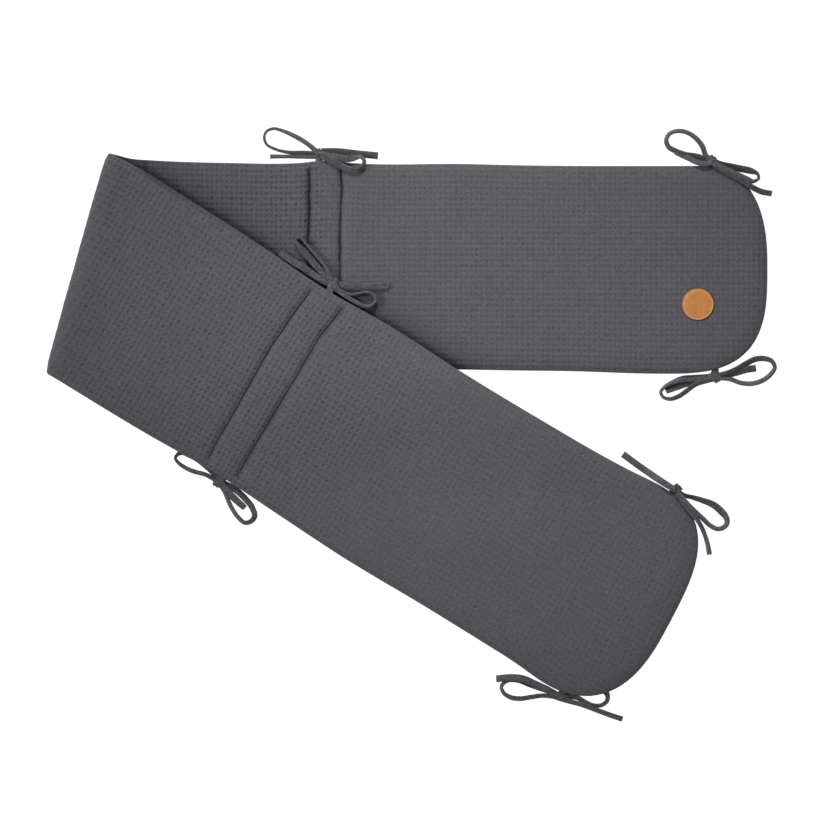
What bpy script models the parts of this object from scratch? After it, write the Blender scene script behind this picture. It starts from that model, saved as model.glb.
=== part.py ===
"""A padded crib bumper: one long strip with round ends, three padded panels and two narrow sewn
channels. It lies folded once on a slanted line, with fabric tapes tied in bows along its edges and a
round leather label near one end. Metres, +Z up, origin under the middle of the folded strip.

Along the strip, s is 0 on the fold, negative towards the label end and positive towards the far end.
Across it, t is positive towards the upper edge, the far one as seen from the front.
"""

import math

import bmesh
import bpy
import numpy as np
from mathutils import Matrix, Vector
from mathutils.bvhtree import BVHTree

# The strip.
LABEL_PANEL = 0.5805
MIDDLE_PANEL = 0.605
FAR_PANEL = 0.6045
CHANNEL_1 = 0.0435  # between the label panel and the middle panel
CHANNEL_2 = 0.048  # between the middle panel and the far panel
THICKNESS = 0.020
EDGE_ROUND = 0.042  # how far in from the seam a face takes to reach its full height
CROWN_REACH = 0.130  # the last part of the crown rises over this distance
CROWN_SHARE = 0.15  # of the height, on the face that lies up
CROWN_MOVES_OVER = 0.4  # along the strip round the fold, from one face to the other
LABEL_END = {"length": (0.095, 0.140), "power": (2.5, 3.1)}  # superellipses, round the upper corner and
FAR_END = {"length": (0.120, 0.125), "power": (3.3, 2.6)}  # round the lower one
FAR_END_LEAN = 0.06  # the far end is seamed a little off square
FAR_END_LEANS_OVER = 0.2

# The sewn lines.
STITCHED_THICKNESS = 0.0028
PANEL_SHOULDER = 0.022  # a panel reaches its height this far from a stitch line
STITCH_STOPS_AT = 0.009  # from the seam
CHANNEL_HEIGHT = 0.74  # of the panels'

# The fold.
FOLD_FROM_CHANNEL_1 = 0.316  # along the strip's axis
FOLD_TILT = math.radians(15.7)  # off square
LAYER_GAP = 0.0024
FOLD_EASES_OVER = 0.060  # the arms spread to their full height this far beyond the bend
DRAPE = 0.190  # the upper arm comes down to the floor over this distance
FOLD_POINT = Vector((-0.4502, 0.2136, 0.0))  # where the strip's axis meets the fold

# Half widths above and below the strip's axis, along it.
EDGE_ROWS = (
    # s, upper, lower
    (-0.938, 0.1380, 0.1440),
    (-0.770, 0.1378, 0.1450),
    (-0.673, 0.1379, 0.1418),
    (-0.600, 0.1388, 0.1409),
    (-0.530, 0.1405, 0.1397),
    (-0.372, 0.1420, 0.1389),
    (-0.338, 0.1452, 0.1390),
    (-0.304, 0.1420, 0.1396),
    (-0.204, 0.1420, 0.1415),
    (-0.102, 0.1455, 0.1440),
    (-0.075, 0.1475, 0.1442),
    (-0.044, 0.1550, 0.1445),
    (-0.010, 0.1580, 0.1447),
    (0.088, 0.1578, 0.1446),
    (0.192, 0.1556, 0.1443),
    (0.313, 0.1505, 0.1412),
    (0.408, 0.1535, 0.1450),
    (0.514, 0.1510, 0.1487),
    (0.650, 0.1516, 0.1477),
    (0.736, 0.1534, 0.1482),
    (0.786, 0.1560, 0.1490),
    (0.830, 0.1597, 0.1522),
    (0.944, 0.1597, 0.1525),
)

# How closely the strip's surface is laid out.
OUTLINE_POINTS = 900
PANEL_STEP = 0.030  # between cross sections on a plain stretch
SECTIONS_TURN_OVER = 0.16  # they lean along the fold, and stand square this far from it
WELD = 1e-6
SLIVER = 1e-5  # the joins leave slivers narrower than this

# The tapes.
TAPE_WIDTH = 0.010
TAPE_THICKNESS = 0.0036
TAPE_EASED = 0.7  # how far in from its sides the tape thins, as a share of half its thickness
TAPE_STEP = 0.011  # between a tape's sections on a straight run
TAPE_TURN = math.radians(27)  # between a tape's sections round a bend
TAPE_SLOPE = 0.6  # how steeply a tape comes down off what it lies on
TAPE_CREASES_AT = 1.5  # a bend's radius, as a share of the tape's width as seen from above
TAPE_PROBES = (-1.1, -0.5, 0.0, 0.5, 1.1)  # across half the tape, where it feels what it lies on
STRAIGHT = 9.0  # the bend's radius on a straight run
ROUTE_POINTS = 400
SEAM_ALLOWANCE = 0.002  # the tape is caught in the seam by this much
KNOT_SIZE = (0.0125, 0.0160, 0.0095)
KNOT_ROUNDING = 0.28  # of its height
SEAT = 0.0003
ABOVE_ALL = 1.0

# The leather label.
LABEL = {"s": -0.8447, "t": -0.0506, "radius": 0.022, "thickness": 0.0016, "bevel": 0.0003, "sides": 36}
SMOOTH_UNDER = math.radians(40)

COLOURS = {
    "waffle_cotton": ((0.102, 0.098, 0.108), 0.92),
    "cotton_tape": ((0.085, 0.083, 0.090), 0.90),
    "leather": ((0.500, 0.230, 0.075), 0.55),
}

CHANNEL_1_AT = -FOLD_FROM_CHANNEL_1 - CHANNEL_1 / 2
CHANNEL_2_AT = MIDDLE_PANEL - FOLD_FROM_CHANNEL_1 + CHANNEL_2 / 2
LABEL_TIP = CHANNEL_1_AT - CHANNEL_1 / 2 - LABEL_PANEL
FAR_TIP = CHANNEL_2_AT + CHANNEL_2 / 2 + FAR_PANEL
STITCH_LINES = (
    CHANNEL_1_AT - CHANNEL_1 / 2,
    CHANNEL_1_AT + CHANNEL_1 / 2,
    CHANNEL_2_AT - CHANNEL_2 / 2,
    CHANNEL_2_AT + CHANNEL_2 / 2,
)
FOLD_RADIUS = (THICKNESS + LAYER_GAP) / 2  # of the strip's middle surface
FOLD_ARC = math.pi * FOLD_RADIUS
FOLD_OUTWARD = np.array((-math.cos(FOLD_TILT), math.sin(FOLD_TILT)))
UNDER_UPPER_ARM = THICKNESS + LAYER_GAP / 2

# Each bow's knot is at s on the strip and stands this far off its edge; side is 1 on the upper edge.
# Loops and tails are in mm from the knot, right and up as seen from above. Twist is in degrees, 0 where
# the tape lies flat and 90 where it stands on its edge, and lift is in mm above what it lies on.
BOWS = {
    "tie_channel_1_top": {
        "s": -0.3297, "side": 1, "off": 0.0090, "turn": 8, "rest": "top",
        "loops": (
            ((-3, 3, 55, 0), (-13, 12, 58, 0), (-36, 26, 60, 0), (-50, 32, 66, 0), (-63, 35, 70, 0),
             (-72, 31, 70, 0), (-75, 24, 70, 0), (-72, 14, 70, 0), (-60, 7, 70, 0), (-44, 3, 70, 0),
             (-20, 2, 68, 0), (-3, 1, 66, 0)),
            ((3, -2, 20, 2), (24, -13, 15, 1), (37, -21, 20, 1), (46, -25, 45, 1), (57, -25, 56, 1),
             (63, -18, 58, 2), (64, -9, 58, 3), (60, 0, 58, 4), (52, 3, 56, 4), (40, 3, 55, 4),
             (26, 1, 55, 4), (3, -1, 50, 3)),
        ),
        "tails": (
            ((-3, -2, 30, 0), (-25, -3, 60, 0), (-43, -3, 70, 0), (-67, -3, 62, 0)),
            ((3, 4, 30, 0), (25, 4, 30, 0), (52, 1, 30, 0), (80, -2, 15, 0)),
        ),
    },
    "tie_channel_1_bottom": {
        "s": -0.3377, "side": -1, "off": 0.0112, "turn": 0, "rest": "floor",
        "loops": (
            ((-3, 1, 70, 0), (-18, 3, 76, 0), (-36, 4, 80, 0), (-48, 0, 84, 0), (-50, -7, 84, 0),
             (-43, -12, 84, 0), (-28, -11, 80, 0), (-3, -3, 70, 0)),
            ((3, 1, 70, 0), (18, 3, 76, 0), (36, 4, 80, 0), (48, 0, 84, 0), (50, -7, 84, 0),
             (43, -12, 84, 0), (28, -11, 80, 0), (3, -3, 70, 0)),
        ),
        "tails": (
            ((-2, -4, 10, 0), (-14, -17, 5, 0), (-30, -25, 0, 0), (-52, -28, 0, 0)),
            ((2, -4, 10, 0), (14, -17, 5, 0), (30, -25, 0, 0), (52, -28, 0, 0)),
        ),
    },
    "tie_channel_2_top": {
        "s": 0.3105, "side": 1, "off": 0.0105, "turn": 20, "rest": "lower arm",
        "loops": (
            ((-3, 4, 20, 1), (-23, 26, 8, 0), (-36, 41, 12, 0), (-43, 49, 34, 0), (-48.5, 56, 66, 0),
             (-50.5, 60, 80, 0), (-49, 63, 84, 0), (-45.5, 64, 86, 0), (-42, 62, 86, 0),
             (-36, 54.5, 86, 0), (-24, 41, 84, 0), (-11, 25, 80, 0), (-2, 6, 70, 1)),
            ((3, -4, 70, 1), (13, -9, 84, 1), (24, -13, 88, 1), (35, -12, 88, 1), (44, -10, 88, 1),
             (53, -12, 88, 1), (58, -19, 88, 1), (55, -26, 86, 1), (46, -28, 84, 1), (37, -25, 80, 1),
             (22, -16, 76, 1), (3, -5, 70, 1)),
        ),
        "tails": (
            ((-3, 2, 15, 0), (-11, 7, 10, 0), (-23, 14, 10, 0), (-40, 26, 12, 0), (-58, 36.5, 20, 0),
             (-72, 45.5, 30, 0)),
            ((3, 1, 20, 0), (18, -2, 25, 0), (36, -3, 15, 0), (59, -2, 10, 0), (75, -2, 10, 0)),
        ),
    },
    "tie_channel_2_bottom": {
        "s": 0.3175, "side": -1, "off": 0.0072, "turn": -30, "rest": "floor",
        "loops": (
            ((-3, 1, 60, 0), (-20, 10, 66, 0), (-35, 14, 64, 0), (-48, 20, 70, 0), (-57, 27, 72, 0),
             (-60, 32, 72, 0), (-57, 37, 66, 0), (-50, 40, 40, 0), (-43, 38, 6, 0), (-34, 34, 0, 0),
             (-20, 24, 0, 0), (-9, 14, 10, 0), (-1, 4, 30, 0)),
            ((1, -3, 50, 0), (8, -15, 58, 0), (11, -23, 62, 0), (17, -36, 62, 0), (26, -49, 62, 0),
             (35, -56, 62, 0), (43, -54, 56, 0), (48, -47, 48, 0), (45, -36, 46, 0), (35, -23, 38, 0),
             (22, -11, 34, 0), (4, -1, 40, 0)),
        ),
        "tails": (
            ((1, -1, 20, 3), (13, -15, 20, 5), (24, -26, 25, 5), (35, -36, 40, 4)),
            ((-1, 1, 50, 0), (-4, -2, 55, 0), (-9, -3, 60, 0)),
        ),
    },
    "tie_far_end_top": {
        "s": 0.8604, "side": 1, "off": 0.0062, "turn": -45, "rest": "top",
        "loops": (
            ((3, -2, 60, 0), (11, -7, 62, 0), (23, -10, 60, 0), (36, -14, 48, 0), (51, -20, 26, 0),
             (62, -29, 14, 0), (69, -38, 46, 0), (70, -45, 56, 0), (65, -51, 60, 0), (57, -53, 62, 0),
             (48, -49, 60, 0), (36, -38, 58, 0), (23, -26, 60, 0), (3, -5, 58, 0)),
        ),
        "tails": (
            ((-2, 1, 40, 0), (-9, 5, 34, 0), (-20, 12, 26, 0), (-36, 23, 26, 0), (-53, 35, 28, 0),
             (-72, 49, 24, 0)),
            ((1, -4, 56, 0), (9, -16, 58, 0), (20, -30, 60, 0), (30, -42, 64, 0), (38, -57, 66, 0),
             (43, -72, 64, 0), (46, -88, 58, 0)),
        ),
    },
    "tie_far_end_bottom": {
        "s": 0.8597, "side": -1, "off": 0.0084, "turn": 35, "rest": "floor",
        "loops": (
            ((-3, 3, 60, 0), (-20, 10, 50, 0), (-40, 17, 50, 0), (-58, 23, 60, 0), (-72, 22, 70, 0),
             (-79, 14, 74, 0), (-76, 6, 68, 0), (-67, 0, 58, 0), (-54, -2, 55, 0), (-39, 0, 58, 0),
             (-25, 2, 60, 0), (-3, 0, 60, 0)),
            ((3, 0, 55, 0), (25, -1, 56, 0), (36, -7, 62, 0), (46, -11, 66, 0), (57, -11, 64, 0),
             (65, -5, 62, 0), (65.5, 3, 56, 0), (59, 10, 30, 0), (52, 11, 4, 0), (38, 8, 0, 0),
             (22, 7, 4, 0), (5, 3, 30, 0)),
        ),
        "tails": (
            ((-2, 2, 20, 4), (-16, 10, 18, 6), (-33, 18, 18, 7), (-49, 25, 20, 7), (-64, 27, 24, 6),
             (-86, 25, 24, 4)),
            ((2, -2, 50, 0), (11, -5, 54, 0), (30, -10, 54, 0), (49, -17, 54, 0), (68, -24, 52, 0),
             (86, -30, 48, 0)),
        ),
    },
    "tie_label_end_top": {
        "s": -0.8643, "side": 1, "off": 0.0064, "turn": -35, "rest": "top",
        "loops": (
            ((-1, 3, 50, 0), (-8, 9, 50, 0), (-12, 20, 50, 0), (-19, 30, 52, 0), (-29, 38, 58, 0),
             (-40, 42, 60, 0), (-49, 42, 64, 0), (-58, 38, 68, 0), (-62, 30, 66, 0), (-59, 21, 58, 0),
             (-49, 15, 54, 0), (-35, 10, 50, 0), (-21, 8, 50, 0), (-3, 2, 50, 0)),
            ((3, 1, 50, 0), (12, -3, 36, 0), (27, -6.5, 26, 0), (42, -9.5, 24, 0), (55, -12.5, 34, 0),
             (63, -17, 56, 0), (64, -22, 60, 0), (57, -26, 48, 1), (46, -23, 44, 1), (33, -17, 44, 1),
             (18, -10, 44, 1), (2, -2, 44, 1)),
        ),
        "tails": (
            ((-1, -1, 50, 0), (-9, -3, 44, 0), (-19, -1, 40, 0), (-33, 6, 40, 0), (-50, 14, 50, 0)),
            ((2, -3, 40, 0), (24, -16, 46, 0), (41, -26, 52, 0), (55, -35, 50, 0), (66, -40, 46, 0),
             (82, -43, 48, 0)),
        ),
    },
    "tie_label_end_bottom": {
        "s": -0.8688, "side": -1, "off": 0.0101, "turn": 35, "rest": "top",
        "loops": (
            ((-3, 0, 20, 2), (-14, -1, 15, 3), (-30, -2, 12, 3), (-44, -3, 25, 3), (-57, -7, 60, 2),
             (-68, -13, 74, 0), (-74, -21, 80, 0), (-71, -27, 78, 0), (-63, -30, 70, 0),
             (-51, -27, 60, 0), (-40, -20, 58, 0), (-28, -11, 58, 0), (-3, -3, 56, 0)),
            ((3, 2, 50, 1), (16, 5, 50, 2), (28, 10, 48, 2), (42, 18, 46, 1), (56, 24.5, 44, 0),
             (68, 25, 50, 0), (78, 21, 66, 0), (81.5, 13, 70, 0), (76, 4, 62, 0), (64, -5, 58, 0),
             (50, -9, 58, 0), (35, -8, 60, 0), (21, -3, 60, 0), (3, -1, 60, 0)),
        ),
        "tails": (
            ((-3, -1, 10, 0), (-20, -4, 8, 0), (-40, -9, 10, 0), (-54, -14, 20, 0), (-67, -19, 45, 0)),
            ((3, 1, 20, 0), (14, 3, 15, 0), (28, 6, 12, 0), (42, 10, 20, 0), (56, 12, 25, 0)),
        ),
    },
}


def clear_scene():
    for obj in list(bpy.data.objects):
        bpy.data.objects.remove(obj, do_unlink=True)


def new_collection(name):
    collection = bpy.data.collections.new(name)
    bpy.context.scene.collection.children.link(collection)
    return collection


def new_material(name):
    colour, roughness = COLOURS[name]
    material = bpy.data.materials.new(name)
    material.use_nodes = True
    shader = material.node_tree.nodes["Principled BSDF"]
    shader.inputs["Base Color"].default_value = (*colour, 1.0)
    shader.inputs["Roughness"].default_value = roughness
    shader.inputs["Metallic"].default_value = 0.0
    return material


def add_object(name, mesh, collection, material=None):
    obj = bpy.data.objects.new(name, mesh)
    collection.objects.link(obj)
    if material:
        mesh.materials.append(material)
    return obj


def as_helper(obj):
    obj.hide_render = True
    obj.display_type = "WIRE"
    return obj


# Curves through hand-set rows.


def through_rows(x, rows_x, rows_y):
    """A smooth line through the rows, read at x."""
    rows_x, rows_y = np.asarray(rows_x, float), np.asarray(rows_y, float)
    slopes = np.gradient(rows_y, rows_x)
    x = np.clip(x, rows_x[0], rows_x[-1])
    i = np.clip(np.searchsorted(rows_x, x, side="right") - 1, 0, len(rows_x) - 2)
    span = rows_x[i + 1] - rows_x[i]
    u = (x - rows_x[i]) / span
    return (
        rows_y[i] * (1 + 2 * u) * (1 - u) ** 2
        + rows_y[i + 1] * u * u * (3 - 2 * u)
        + slopes[i] * span * u * (1 - u) ** 2
        - slopes[i + 1] * span * u * u * (1 - u)
    )


def eased(x):
    x = np.clip(x, 0.0, 1.0)
    return x * x * (3 - 2 * x)


def swelling(distance, reach):
    """0 at a seam, 1 at reach and beyond, round between them."""
    x = np.clip(distance / reach, 0.0, 1.0)
    return np.sqrt(1 - (1 - x) ** 2)


# The strip's outline, laid flat.


def end_share(s, corner):
    """How much of its half width the strip has at s, inside the rounded ends: corner is 0 for its upper
    half and 1 for its lower one."""
    share = np.ones_like(s)
    for tip, end in ((LABEL_TIP, LABEL_END), (FAR_TIP, FAR_END)):
        power = end["power"][corner]
        inward = np.clip(1 - np.abs(s - tip) / end["length"][corner], 0.0, 1.0)
        share = share * (1 - inward ** power) ** (1 / power)
    return share


def half_widths(s):
    rows = np.array(EDGE_ROWS)
    s = np.asarray(s, float)
    return (
        through_rows(s, rows[:, 0], rows[:, 1]) * end_share(s, 0),
        through_rows(s, rows[:, 0], rows[:, 2]) * end_share(s, 1),
    )


def outline(tips):
    """Points round the flat strip, between the two tips."""
    s = tips[0] + (tips[1] - tips[0]) * (1 - np.cos(np.linspace(0, math.pi, OUTLINE_POINTS))) / 2
    upper, lower = half_widths(s)
    across = np.linspace(-1, 1, OUTLINE_POINTS // 20)
    ends = [
        np.column_stack((np.full_like(across, tip), np.where(across > 0, up, low) * across))
        for tip, up, low in ((tips[0], upper[0], lower[0]), (tips[1], upper[-1], lower[-1]))
    ]
    sides = [np.column_stack((s, upper)), np.column_stack((s, -lower))]
    return np.concatenate(sides + ends)


def distance_to(points, s, t):
    nearest = np.full(s.shape, np.inf)
    for point in points:
        nearest = np.minimum(nearest, np.hypot(s - point[0], t - point[1]))
    return nearest


# The strip's thickness, and the fold.


def stitched(s, seam_distance):
    """1 on a panel, falling to the stitched thickness on the four sewn lines."""
    share = np.ones_like(s)
    least = STITCHED_THICKNESS / THICKNESS
    held = eased((seam_distance - STITCH_STOPS_AT * 0.5) / STITCH_STOPS_AT)
    for centre, width in ((CHANNEL_1_AT, CHANNEL_1), (CHANNEL_2_AT, CHANNEL_2)):
        offset = np.abs(s - centre) - width / 2  # negative inside the channel
        outside = least + (1 - least) * swelling(offset, PANEL_SHOULDER)
        inside = least + (CHANNEL_HEIGHT - least) * swelling(-offset, width / 2)
        share = share * np.where(offset > 0, outside, inside)
    return 1 - (1 - share) * held


def faces_heights(s, seam_distance):
    """Heights of the outer and inner face off the strip's middle surface. The outer face lies down on
    the label arm and up on the far arm."""
    edge = swelling(seam_distance, EDGE_ROUND)
    crown = (1 - CROWN_SHARE) * edge + CROWN_SHARE * swelling(seam_distance, CROWN_REACH)
    up = eased(s / CROWN_MOVES_OVER + 0.5)
    half = THICKNESS / 2 * stitched(s, seam_distance)
    return half * (edge + (crown - edge) * up), half * (crown + (edge - crown) * up)


def fold_radius(past, t, seam_distance):
    """The radius that the strip's middle surface turns at: tight beside the seams, where it is thin. The
    arms stay apart where the one beneath is thicker."""
    own = swelling(seam_distance, EDGE_ROUND)
    beneath = swelling(seam_distance + 2 * past * math.sin(FOLD_TILT) * np.sign(t), EDGE_ROUND)
    tight = THICKNESS / 2 * np.maximum(own, (own + beneath) / 2) + LAYER_GAP / 2
    apart = eased((np.abs(past) - FOLD_ARC / 2) / FOLD_EASES_OVER)
    return tight + (FOLD_RADIUS - tight) * apart


def folded(s, t, height, seam_distance=EDGE_ROUND):
    """The place of a point at this height off the strip's middle surface, towards the outer face."""
    s = s - FAR_END_LEAN * t * eased((s - FAR_TIP) / FAR_END_LEANS_OVER + 1)
    flat = np.stack((-s, t), axis=-1)
    past = flat @ FOLD_OUTWARD  # past the fold's line
    radius = fold_radius(past, t, seam_distance)
    half_arc = math.pi / 2 * radius
    angle = np.clip(past / radius + math.pi / 2, 0.0, math.pi)
    outward = np.minimum(past, -half_arc) - np.maximum(past - half_arc, 0) + (radius + height) * np.sin(angle)
    plan = flat + (outward - past)[..., None] * FOLD_OUTWARD
    z = THICKNESS / 2 + radius - (radius + height) * np.cos(angle)
    lower_edge = half_widths(-plan[..., 0])[1]
    drop = eased((-plan[..., 1] - lower_edge) / DRAPE) * (past > half_arc)
    z = z - 2 * radius * drop
    return np.concatenate((plan, z[..., None]), axis=-1) + np.array(FOLD_POINT)


# The padded strip.


def stations():
    """Places of the strip's cross sections: close together at the ends, stitch lines and fold."""
    ends = (0.003, 0.02, 0.06, 0.12, 0.20, 0.31, 0.45, 0.65, 1.0)  # shares of a rounded end
    beside = (0.0, 0.0015, 0.005, 0.011, 0.020, 0.034)  # from a stitch line, on a panel
    inside = (0.08, 0.25, 0.5, 1.0)  # shares of half a channel
    by_fold = (0.7, 0.9, 1.3, 1.7, 2.2)  # shares of the fold's arc
    label_end, far_end = max(LABEL_END["length"]), max(FAR_END["length"])
    places = {LABEL_TIP + share * label_end for share in ends}
    places |= {FAR_TIP - share * far_end for share in ends}
    for centre, width in ((CHANNEL_1_AT, CHANNEL_1), (CHANNEL_2_AT, CHANNEL_2)):
        for offset in beside:
            places |= {centre - width / 2 - offset, centre + width / 2 + offset}
        for share in inside:
            places |= {centre - width / 2 * (1 - share), centre + width / 2 * (1 - share)}
    places |= {x * FOLD_ARC for x in np.linspace(-0.5, 0.5, 11)}
    places |= {side * share * FOLD_ARC for side in (-1, 1) for share in by_fold}
    for first, last in (
        (LABEL_TIP + label_end, STITCH_LINES[0] - beside[-1]),
        (STITCH_LINES[1] + beside[-1], -by_fold[-1] * FOLD_ARC),
        (by_fold[-1] * FOLD_ARC, STITCH_LINES[2] - beside[-1]),
        (STITCH_LINES[3] + beside[-1], FAR_TIP - far_end),
    ):
        places |= set(np.linspace(first, last, int((last - first) / PANEL_STEP) + 2))
    return np.array(sorted({round(place, 5) for place in places}))


def columns():
    """Places across the strip, as shares of its half width: close together towards the seams."""
    from_seam = (0.0, 0.008, 0.03, 0.07, 0.13, 0.21, 0.32, 0.60)
    half = [1 - share for share in from_seam]
    return np.array([-share for share in half] + [0.0] + half[::-1])


def strip_grid(rows, cols):
    """s and t of the grid's points, with the sections leaning along the fold near it."""
    s = np.repeat(rows[:, None], len(cols), axis=1)
    upper, lower = half_widths(s)
    t = np.where(cols > 0, upper, lower) * cols
    lean = math.tan(FOLD_TILT) * (1 - eased((np.abs(rows) - FOLD_ARC) / SECTIONS_TURN_OVER))
    s = s - lean[:, None] * t
    upper, lower = half_widths(s)
    return s, np.where(cols > 0, upper, lower) * cols


def seamed_strip(rows, cols):
    """Two faces, each a grid laid over the strip, seamed together round the edge."""
    s, t = strip_grid(rows, cols)
    seam_distance = distance_to(outline((rows[0], rows[-1])), s, t)
    seam_distance[0, :] = seam_distance[-1, :] = 0.0
    seam_distance[:, 0] = seam_distance[:, -1] = 0.0
    outer, inner = faces_heights(s, seam_distance)
    bm = bmesh.new()
    for height in (outer, -inner):
        made = bmesh.ops.create_grid(bm, x_segments=len(rows) - 1, y_segments=len(cols) - 1, size=0.5)
        places = folded(s, t, height, seam_distance)
        for vertex in made["verts"]:
            row = round((vertex.co.x + 0.5) * (len(rows) - 1))
            col = round((vertex.co.y + 0.5) * (len(cols) - 1))
            vertex.co = places[row, col]
    bmesh.ops.remove_doubles(bm, verts=bm.verts, dist=WELD)
    bmesh.ops.recalc_face_normals(bm, faces=bm.faces)
    mesh = bpy.data.meshes.new("bumper_pad")
    bm.to_mesh(mesh)
    bm.free()
    mesh.shade_smooth()
    return mesh


# The tapes.


def route(rows):
    """Points on a smooth line through the rows of a loop or a tail, closer together round its bends."""
    rows = np.array(rows, float)
    along = np.concatenate(([0], np.cumsum(np.hypot(*np.diff(rows[:, :2], axis=0).T))))
    fine = np.linspace(0, along[-1], ROUTE_POINTS)
    line = np.column_stack([through_rows(fine, along, column) for column in rows.T])
    steps = np.diff(line[:, :2], axis=0)
    heading = np.unwrap(np.arctan2(steps[:, 1], steps[:, 0]))
    turned = np.concatenate(([0, 0], np.cumsum(np.abs(np.diff(heading)))))
    needed = fine / 1000 / TAPE_STEP + turned / TAPE_TURN
    at = np.interp(np.linspace(0, needed[-1], max(4, math.ceil(needed[-1])) + 1), needed, fine)
    return np.column_stack([through_rows(at, along, column) for column in rows.T])


def height_below(tree, x, y, start):
    hit = tree.ray_cast(Vector((x, y, start)), Vector((0, 0, -1)))[0]
    return hit.z if hit else 0.0


def upright_in_bends(plan, twist):
    """The twists, with the tape raised on its edge where it would crease in a tight bend."""
    steps = np.diff(plan, axis=0)
    heading = np.unwrap(np.arctan2(steps[:, 1], steps[:, 0]))
    turn = np.abs(np.diff(heading)) + 1e-6
    radius = np.hypot(*(steps[1:] + steps[:-1]).T) / 2 / turn
    beside = np.pad(radius, 2, constant_values=STRAIGHT)
    radius = np.minimum.reduce([beside[:-2], beside[1:-1], beside[2:]])
    widest = np.clip((TAPE_CREASES_AT * radius - TAPE_THICKNESS) / TAPE_WIDTH, 0.0, 1.0)
    return np.maximum(twist, np.arccos(widest))


def laid(rows, knot, rest, tree):
    """The route of a loop or tail, lifted onto what it lies on: points and twists."""
    points = route(rows)
    plan = np.array(knot[:2]) + points[:, :2] / 1000
    ahead = np.gradient(plan, axis=0)
    twist = upright_in_bends(plan, np.radians(points[:, 2]))
    side = np.column_stack((-ahead[:, 1], ahead[:, 0])) / np.hypot(*ahead.T)[:, None]
    half = (TAPE_WIDTH * np.abs(np.cos(twist)) + TAPE_THICKNESS * np.abs(np.sin(twist))) / 2
    tall = TAPE_WIDTH * np.abs(np.sin(twist)) + TAPE_THICKNESS * np.abs(np.cos(twist))
    floor = np.full(len(plan), 0.0)
    if rest != "floor":
        start = UNDER_UPPER_ARM if rest == "lower arm" else ABOVE_ALL
        for share in TAPE_PROBES:
            at = plan + side * (half * share)[:, None]
            floor = np.maximum(floor, [height_below(tree, x, y, start) for x, y in at])
    along = np.concatenate(([0], np.cumsum(np.hypot(*np.diff(plan, axis=0).T))))
    apart = np.abs(along[:, None] - along[None, :])
    floor = (floor[None, :] - TAPE_SLOPE * apart).max(axis=1)
    z = floor + points[:, 3] / 1000 + tall / 2 + 2 * SEAT
    return np.column_stack((plan, z)), twist


def tape_profile(collection):
    """The tape's section: folded fabric, a flat strip with eased sides."""
    curve = bpy.data.curves.new("tape_profile", "CURVE")
    curve.dimensions = "2D"
    spline = curve.splines.new("POLY")
    wide, thick = TAPE_WIDTH / 2, TAPE_THICKNESS / 2
    flat = wide - thick * TAPE_EASED
    corners = ((wide, 0), (flat, thick), (-flat, thick), (-wide, 0), (-flat, -thick), (flat, -thick))
    spline.points.add(len(corners) - 1)
    for point, (x, y) in zip(spline.points, corners):
        point.co = (x, y, 0, 1)
    spline.use_cyclic_u = True
    profile = bpy.data.objects.new("tape_profile", curve)
    collection.objects.link(profile)
    return as_helper(profile)


def tape(name, points, twists, profile, collection):
    curve = bpy.data.curves.new(name, "CURVE")
    curve.dimensions = "3D"
    curve.twist_mode = "Z_UP"
    curve.bevel_mode = "OBJECT"
    curve.bevel_object = profile
    curve.use_fill_caps = True
    spline = curve.splines.new("POLY")
    spline.points.add(len(points) - 1)
    for point, place, twist in zip(spline.points, points, twists):
        point.co = (*place, 1)
        point.tilt = twist
    swept = bpy.data.objects.new(name, curve)
    collection.objects.link(swept)
    graph = bpy.context.evaluated_depsgraph_get()
    mesh = bpy.data.meshes.new_from_object(swept.evaluated_get(graph))
    bpy.data.objects.remove(swept, do_unlink=True)
    bm = bmesh.new()
    bm.from_mesh(mesh)
    bmesh.ops.remove_doubles(bm, verts=bm.verts, dist=WELD)
    bmesh.ops.recalc_face_normals(bm, faces=bm.faces)
    bm.to_mesh(mesh)
    bm.free()
    return as_helper(add_object(name, mesh, collection))


def knot_mesh(name):
    """The middle of a bow: a pulled-in lump of tape, round on every side."""
    bm = bmesh.new()
    bmesh.ops.create_cube(bm, size=1.0, matrix=Matrix.Diagonal((*KNOT_SIZE, 1)))
    rounding = KNOT_SIZE[2] * KNOT_ROUNDING
    bmesh.ops.bevel(bm, geom=list(bm.edges), offset=rounding, segments=1, affect="EDGES")
    mesh = bpy.data.meshes.new(name)
    bm.to_mesh(mesh)
    bm.free()
    return mesh


def fuse(obj, others):
    """Joins everything in a collection to the object. A loop meets itself at the knot."""
    modifier = obj.modifiers.new(others.name, "BOOLEAN")
    modifier.operation = "UNION"
    modifier.operand_type = "COLLECTION"
    modifier.collection = others
    modifier.solver = "EXACT"
    modifier.use_self = True


def cut(obj, cutter):
    modifier = obj.modifiers.new(cutter.name, "BOOLEAN")
    modifier.operation = "DIFFERENCE"
    modifier.object = cutter
    modifier.solver = "EXACT"


def clear_slivers(obj):
    modifier = obj.modifiers.new("slivers", "WELD")
    modifier.merge_threshold = SLIVER


def knot_place(bow, tree):
    """The knot's centre, beside the strip's edge, on what lies below it."""
    upper, lower = half_widths(np.array(bow["s"]))
    edge = upper if bow["side"] > 0 else -lower
    off = bow["side"] * bow["off"]
    x, y, _ = folded(np.array(bow["s"]), np.array(edge + off), np.array(0.0))
    z = 0.0
    if bow["rest"] == "lower arm":
        reach = KNOT_SIZE[0] / 2
        around = [(x + a * reach, y + b * reach) for a in (-1, 0, 1) for b in (-1, 0, 1)]
        z = max(height_below(tree, px, py, UNDER_UPPER_ARM) for px, py in around)
    return Vector((x, y, z + KNOT_SIZE[2] / 2 + 2 * SEAT))


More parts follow.
